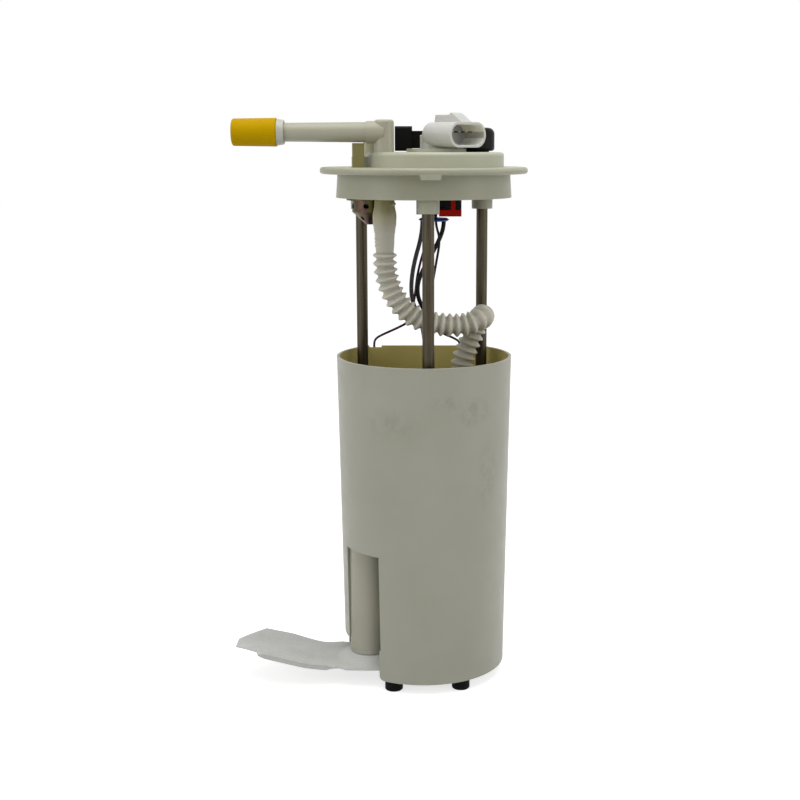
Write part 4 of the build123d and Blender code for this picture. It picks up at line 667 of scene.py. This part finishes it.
def centreline(name, route):
    """Points of a smooth curve with the route as its control points, in metres."""
    curve = bpy.data.curves.new(name, "CURVE")
    curve.dimensions = "3D"
    curve.resolution_u = CURVE_STEPS
    spline = curve.splines.new("NURBS")
    spline.points.add(len(route) - 1)
    for point, place in zip(spline.points, route):
        point.co = (*(c * MM for c in place), 1.0)
    spline.order_u = 3
    spline.use_endpoint_u = True
    holder = bpy.data.objects.new(name, curve)
    line = bpy.data.meshes.new_from_object(holder)
    points = [v.co.copy() for v in line.vertices]
    bpy.data.objects.remove(holder)
    bpy.data.meshes.remove(line)
    return points


def evenly(points, step):
    """The same line with its points a step apart, and each point's distance along it."""
    lengths = [0.0]
    for a, b in zip(points, points[1:]):
        lengths.append(lengths[-1] + (b - a).length)
    count = max(2, round(lengths[-1] / step))
    places, along, i = [], [], 0
    for k in range(count + 1):
        s = lengths[-1] * k / count
        while i < len(points) - 2 and lengths[i + 1] < s:
            i += 1
        share = (s - lengths[i]) / max(lengths[i + 1] - lengths[i], 1e-9)
        places.append(points[i].lerp(points[i + 1], min(1.0, share)))
        along.append(s)
    return places, along


def tube(name, places, radii, sides):
    """Tube with closed ends along a line, with a radius for each of the line's points."""
    mesh = bmesh.new()
    rings = []
    side = None
    for i, place in enumerate(places):
        ahead = places[min(i + 1, len(places) - 1)] - places[max(i - 1, 0)]
        ahead.normalize()
        if side is None:
            side = ahead.orthogonal()
        side = (side - ahead * side.dot(ahead)).normalized()
        other = ahead.cross(side)
        rings.append([mesh.verts.new(place + (side * math.cos(t) + other * math.sin(t))
                                     * radii[i])
                      for t in (2 * math.pi * k / sides for k in range(sides))])
    for a, b in zip(rings, rings[1:]):
        for k in range(sides):
            n = (k + 1) % sides
            mesh.faces.new((a[k], a[n], b[n], b[k]))
    mesh.faces.new(list(reversed(rings[0])))
    mesh.faces.new(rings[-1])
    made = bpy.data.meshes.new(name)
    mesh.to_mesh(made)
    mesh.free()
    made.shade_smooth()
    return add_object(name, made)


def smoothstep(value, low, high):
    """Smooth rise from 0 at low to 1 at high."""
    t = min(1.0, max(0.0, (value - low) / (high - low)))
    return t * t * (3 - 2 * t)


def cuff_radius(s):
    """Radius of the hose's smooth upper end at a distance along it, in millimetres."""
    for (s0, r0), (s1, r1) in zip(HOSE_CUFF, HOSE_CUFF[1:]):
        if s <= s1:
            return r0 + (r1 - r0) * smoothstep(s, s0, s1)
    return HOSE_CUFF[-1][1]


def hose_radius(s, length):
    """Radius of the hose at a distance along it, in millimetres."""
    turn = 2 * math.pi * (s - HOSE_FIRST_CREST) / HOSE_PITCH
    wave = (0.5 + 0.5 * math.cos(turn)) ** HOSE_ROUNDNESS
    ring = HOSE_ROOT_R + (HOSE_CREST_R - HOSE_ROOT_R) * wave
    low_cuff = length - HOSE_LOW_CUFF_L
    if s > low_cuff - HOSE_PITCH:
        plain = smoothstep(s, low_cuff - HOSE_FADE, low_cuff + HOSE_FADE)
        return ring * (1 - plain) + HOSE_LOW_CUFF_R * plain
    rings = smoothstep(s, HOSE_FIRST_CREST - HOSE_PITCH / 2, HOSE_FIRST_CREST - HOSE_FADE)
    return cuff_radius(s) * (1 - rings) + ring * rings


def make_hose():
    """Corrugated hose with plain cuffs, which bends between the reservoir and the cover."""
    places, along = evenly(centreline("hose_line", HOSE_ROUTE), HOSE_STEP * MM)
    length = along[-1] / MM
    radii = [hose_radius(s / MM, length) * MM for s in along]
    hose = tube("fuel_hose_corrugated", places, radii, HOSE_SIDES)
    for i, point in enumerate(hose.data.vertices):
        ring = min(i // HOSE_SIDES, len(places) - 1)
        out = (point.co - places[ring]).normalized()
        for at, height, width, side in HOSE_BUMPS:
            near = math.exp(-((along[ring] / MM - at) / width) ** 2)
            facing = smoothstep(out.x * side, *HOSE_BUMP_FACING)
            point.co += out * near * height * MM * facing
    paint(hose, "hose_plastic")
    stand_for("fuel_hose")
    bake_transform(hose)


def make_wires():
    """Thin wires from the seal to the pump and over the rim to the sender."""
    for node, (radius, route) in WIRES.items():
        places = evenly(centreline(node + "_line", route), WIRE_STEP * MM)[0]
        wire = tube(node + "_cover", places, [radius * MM] * len(places), WIRE_SIDES)
        paint(wire, SLOT_OF[node])
        stand_for(node)
        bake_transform(wire)


def edge_at(edge, x):
    """Y of an edge of the strainer's outline at an x."""
    for (x0, y0), (x1, y1) in zip(edge, edge[1:]):
        if x <= x1:
            return y0 + (y1 - y0) * (x - x0) / (x1 - x0)
    return edge[-1][1]


def sock_stations(x0, x1):
    """Places along the strainer: even steps, and the corners of its outline."""
    corners = [x for x, y in SOCK_FRONT_EDGE + SOCK_BACK_EDGE if x0 < x < x1]
    even = [x0 + SOCK_STEP * i for i in range(int((x1 - x0) / SOCK_STEP) + 1)]
    kept = [x for x in even if min(abs(x - c) for c in corners) > SOCK_STEP / 3]
    return sorted({x0, x1, *corners, *kept})


def sock_heights(place, middle, inset, lip, hub):
    """Heights of the upper and the lower felt at a place, around the height of the seam."""
    full = SOCK_SEAM + (SOCK_FULL - SOCK_SEAM) * max(smoothstep(inset, 0.0, SOCK_SWELL), lip)
    wrinkle = sum(noise.noise(Vector((place.x * along, place.y * across, seed))) * height
                  for along, across, seed, height in SOCK_WRINKLES)
    away = (place - hub).length
    wrinkle *= smoothstep(away, *SOCK_CALM_R) * smoothstep(inset, 0.0, SOCK_CALM_EDGE)
    mound = SOCK_MOUND * (1 - smoothstep(away, *SOCK_MOUND_R))
    return (middle + full / 2 - SOCK_SKIN + min(0.0, wrinkle) * SOCK_DENT + mound,
            middle - full / 2 + SOCK_SKIN + max(0.0, wrinkle) * SOCK_DENT)


def sheet_faces(mesh, tops, lows):
    """Faces of an upper and a lower sheet of corners, and of the edge around them."""
    for a, b in zip(tops, tops[1:]):
        for k in range(len(a) - 1):
            mesh.faces.new((a[k], b[k], b[k + 1], a[k + 1]))
    for a, b in zip(lows, lows[1:]):
        for k in range(len(a) - 1):
            mesh.faces.new((a[k + 1], b[k + 1], b[k], a[k]))
    for t0, t1, l0, l1 in zip(tops, tops[1:], lows, lows[1:]):
        mesh.faces.new((t1[0], t0[0], l0[0], l1[0]))
        mesh.faces.new((t0[-1], t1[-1], l1[-1], l0[-1]))
    for k in range(len(tops[0]) - 1):
        mesh.faces.new((tops[0][k], tops[0][k + 1], lows[0][k + 1], lows[0][k]))
        mesh.faces.new((tops[-1][k + 1], tops[-1][k], lows[-1][k], lows[-1][k + 1]))


def make_sock():
    """Felt bag: two layers sealed at the edges, fuller in the middle, rising to its tip."""
    low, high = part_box("strainer_sock")
    x0, x1 = low.x / MM, high.x / MM
    bottom = low.z / MM
    rise = (high.z - low.z) / MM - SOCK_T
    ring_low, ring_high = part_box("strainer_collar")
    hub = Vector(((ring_low.x + ring_high.x) / 2 / MM, (ring_low.y + ring_high.y) / 2 / MM))
    mesh = bmesh.new()
    top_rows, low_rows = [], []
    for x in sock_stations(x0, x1):
        front, back = edge_at(SOCK_FRONT_EDGE, x), edge_at(SOCK_BACK_EDGE, x)
        middle = bottom + SOCK_T / 2 + rise * smoothstep(-x, SOCK_BEND - hub.x, -x0)
        wide = smoothstep(-x, *SOCK_LIP_STARTS) * (1 - smoothstep(-x, *SOCK_LIP_ENDS))
        tops, lows = [], []
        for k in range(SOCK_ROWS + 1):
            y = front + (back - front) * (k / SOCK_ROWS)
            inset = min(y - front, back - y, x - x0 + SOCK_END, x1 - x + SOCK_END)
            lip = wide * (1 - smoothstep(y - front, 0.0, SOCK_LIP))
            over, under = sock_heights(Vector((x, y)), middle, inset, lip, hub)
            tops.append(mesh.verts.new(Vector((x, y, over)) * MM))
            lows.append(mesh.verts.new(Vector((x, y, under)) * MM))
        top_rows.append(tops)
        low_rows.append(lows)
    sheet_faces(mesh, top_rows, low_rows)
    made = bpy.data.meshes.new("strainer_sock_felt")
    mesh.to_mesh(made)
    mesh.free()
    sock = add_object("strainer_sock_felt", made)
    made.shade_smooth()
    made.set_sharp_from_angle(angle=math.radians(SOCK_EDGE_ANGLE))
    paint(sock, "felt")
    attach(sock, "reservoir")
    stand_for("strainer_sock")


def make_springs():
    """Light coils for the three springs."""
    wire = SPRING_WIRE_R * MM
    count = SPRING_TURNS * SPRING_STEPS
    for name in ("front", "right", "left"):
        node = "spring_" + name
        low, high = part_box(node)
        x, y = (low.x + high.x) / 2, (low.y + high.y) / 2
        radius = (high.x - low.x) / 2 - wire
        places = [Vector((x + radius * math.cos(2 * math.pi * i / SPRING_STEPS),
                          y + radius * math.sin(2 * math.pi * i / SPRING_STEPS),
                          low.z + wire + (high.z - low.z - 2 * wire) * i / count))
                  for i in range(count + 1)]
        spring = tube(node + "_coil", places, [wire] * len(places), SPRING_SIDES)
        paint(spring, "spring_steel")
        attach(spring, "reservoir")
        stand_for(node)
        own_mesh(spring)


def make_reservoir():
    """Bucket with painted shade on its inside and painted light in its recess."""
    shell = dress("reservoir_shell", "reservoir_inside_painted_shade", "reservoir_recess_painted_light")
    outside, inside, recess = range(3)
    tree = face_tree(shell.data)
    # Faces that see across the bucket take the painted shade tone, and faces deep in the recess
    # the painted light tone.
    for face in shell.data.polygons:
        place = face.center + face.normal * OFF_FACE * MM
        middle = Vector((BUCKET_MIDDLE[0] * MM, BUCKET_MIDDLE[1] * MM, place.z))
        way = middle - place
        clear = tree.ray_cast(place, way.normalized(), way.length)[0] is None
        if clear and BUCKET_FLOOR_Z * MM < place.z < BUCKET_RIM_Z * MM:
            face.material_index = inside
        elif BUCKET_FLOOR_Z * MM < place.z < RECESS_TOP_Z * MM:
            across = math.hypot(place.x, place.y) / MM
            aside = math.hypot(place.x / MM - WELL_MIDDLE[0], place.y / MM - WELL_MIDDLE[1])
            deep = across < RECESS_R or aside < WELL_R
            face.material_index = recess if deep else outside


def make_cover():
    """Cover with painted shade on its post, and painted light on its turret and its raised
    middle.
    """
    cover = dress("tank_cover", "post_painted_shade", "turret_painted_light", "plateau_painted_light")
    post, turret, plateau = range(1, 4)
    # Walls above the flange take painted shade on the post, and painted light on the turret and
    # the rest.
    for face in cover.data.polygons:
        x, y, z = face.center / MM
        if z < FLANGE_TOP_Z:
            continue
        on_post = (POST_BOX[0][0] < x < POST_BOX[1][0] and POST_BOX[0][1] < y < POST_BOX[1][1])
        on_turret = math.hypot(x - TURRET_MIDDLE[0], y - TURRET_MIDDLE[1]) < TURRET_R
        face.material_index = post if on_post else turret if on_turret else plateau


def make_connector():
    """Connector whose inside faces, which look at one another, have a paler tone of painted
    light.
    """
    shroud = dress("cover_connector", "connector_inside_painted_light")
    outside, inside = range(2)
    tree = face_tree(shroud.data)
    # Faces that look across the mouth take the paler tone of painted light.
    for face in shroud.data.polygons:
        start = face.center + face.normal * OFF_FACE * MM
        across = tree.ray_cast(start, face.normal, MOUTH_REACH * MM)[0]
        face.material_index = outside if across is None else inside


def dress_the_rest():
    """Softened copies or new finishes for every other node."""
    for node in sorted(NODES):
        if node in REPLACED:
            continue
        if node in BEVELS:
            dress(node)
        else:
            shown = NODES[node].data
            shown.materials.clear()
            shown.materials.append(MATERIALS[SLOT_OF[node]])


def viewed(tree):
    """1 for what the camera, a reflection or glass sees, and 0 for light on the object."""
    path = tree.nodes.new("ShaderNodeLightPath")
    seen = path.outputs["Is Camera Ray"]
    for kind in ("Is Glossy Ray", "Is Transmission Ray"):
        either = tree.nodes.new("ShaderNodeMath")
        either.operation = "MAXIMUM"
        tree.links.new(seen, either.inputs[0])
        tree.links.new(path.outputs[kind], either.inputs[1])
        seen = either.outputs[0]
    return seen


def paper():
    """Matt grey that the view lifts to white, so that it keeps a soft shadow."""
    made = bpy.data.materials.new("paper")
    made.use_nodes = True
    tree = made.node_tree
    tree.nodes.remove(tree.nodes["Principled BSDF"])
    diffuse = tree.nodes.new("ShaderNodeBsdfDiffuse")
    diffuse.inputs["Color"].default_value = (FLOOR_GREY, FLOOR_GREY, FLOOR_GREY, 1.0)
    glow = tree.nodes.new("ShaderNodeEmission")
    lift = tree.nodes.new("ShaderNodeMath")
    lift.operation = "MULTIPLY"
    lift.inputs[1].default_value = FLOOR_LIFT
    tree.links.new(viewed(tree), lift.inputs[0])
    tree.links.new(lift.outputs[0], glow.inputs["Strength"])
    both = tree.nodes.new("ShaderNodeAddShader")
    tree.links.new(diffuse.outputs[0], both.inputs[0])
    tree.links.new(glow.outputs[0], both.inputs[1])
    tree.links.new(both.outputs[0], tree.nodes["Material Output"].inputs["Surface"])
    return made


def make_floor():
    """Pale floor under the feet."""
    mesh = bmesh.new()
    bmesh.ops.create_grid(mesh, x_segments=8, y_segments=8, size=FLOOR_REACH)
    made = bpy.data.meshes.new("floor")
    mesh.to_mesh(made)
    mesh.free()
    floor = add_object("floor", made)
    floor.location.z = CAD_BOX[0].z
    made.materials.append(paper())


def make_world():
    """Even light on the object, and white wherever the world is seen."""
    world = bpy.data.worlds.new("studio")
    bpy.context.scene.world = world
    world.use_nodes = True
    tree = world.node_tree
    soft = tree.nodes["Background"]
    white = tree.nodes.new("ShaderNodeBackground")
    for shade, strength in ((soft, WORLD_LIGHT), (white, 1.0)):
        shade.inputs["Color"].default_value = (1.0, 1.0, 1.0, 1.0)
        shade.inputs["Strength"].default_value = strength
    pick = tree.nodes.new("ShaderNodeMixShader")
    tree.links.new(viewed(tree), pick.inputs["Fac"])
    tree.links.new(soft.outputs[0], pick.inputs[1])
    tree.links.new(white.outputs[0], pick.inputs[2])
    tree.links.new(pick.outputs[0], tree.nodes["World Output"].inputs["Surface"])


def make_camera():
    """Camera at the photograph's viewpoint."""
    camera = bpy.data.cameras.new("camera")
    camera.lens = CAMERA_LENS
    camera.sensor_width = CAMERA_SENSOR
    camera.shift_x, camera.shift_y = CAMERA_SHIFT
    camera.clip_start = CAMERA_CLIP
    holder = add_object("camera", camera)
    holder.location = CAMERA_PLACE
    holder.rotation_euler = (math.pi / 2 - CAMERA_TILT, 0.0, 0.0)
    bpy.context.scene.camera = holder


def add_light(name, place, target, size, power):
    """Square soft box that faces a target."""
    light = bpy.data.lights.new(name, "AREA")
    light.size = size
    light.energy = power
    holder = add_object("light_" + name, light)
    holder.location = place
    aim = Vector(target) - Vector(place)
    holder.rotation_euler = aim.to_track_quat("-Z", "Y").to_euler()


make_floor()
make_world()
for lamp in LAMPS:
    add_light(*lamp)
make_camera()
make_hose()
make_wires()
make_sock()
make_springs()
make_reservoir()
make_cover()
make_connector()
dress_the_rest()
bpy.context.scene.view_settings.view_transform = "Standard"
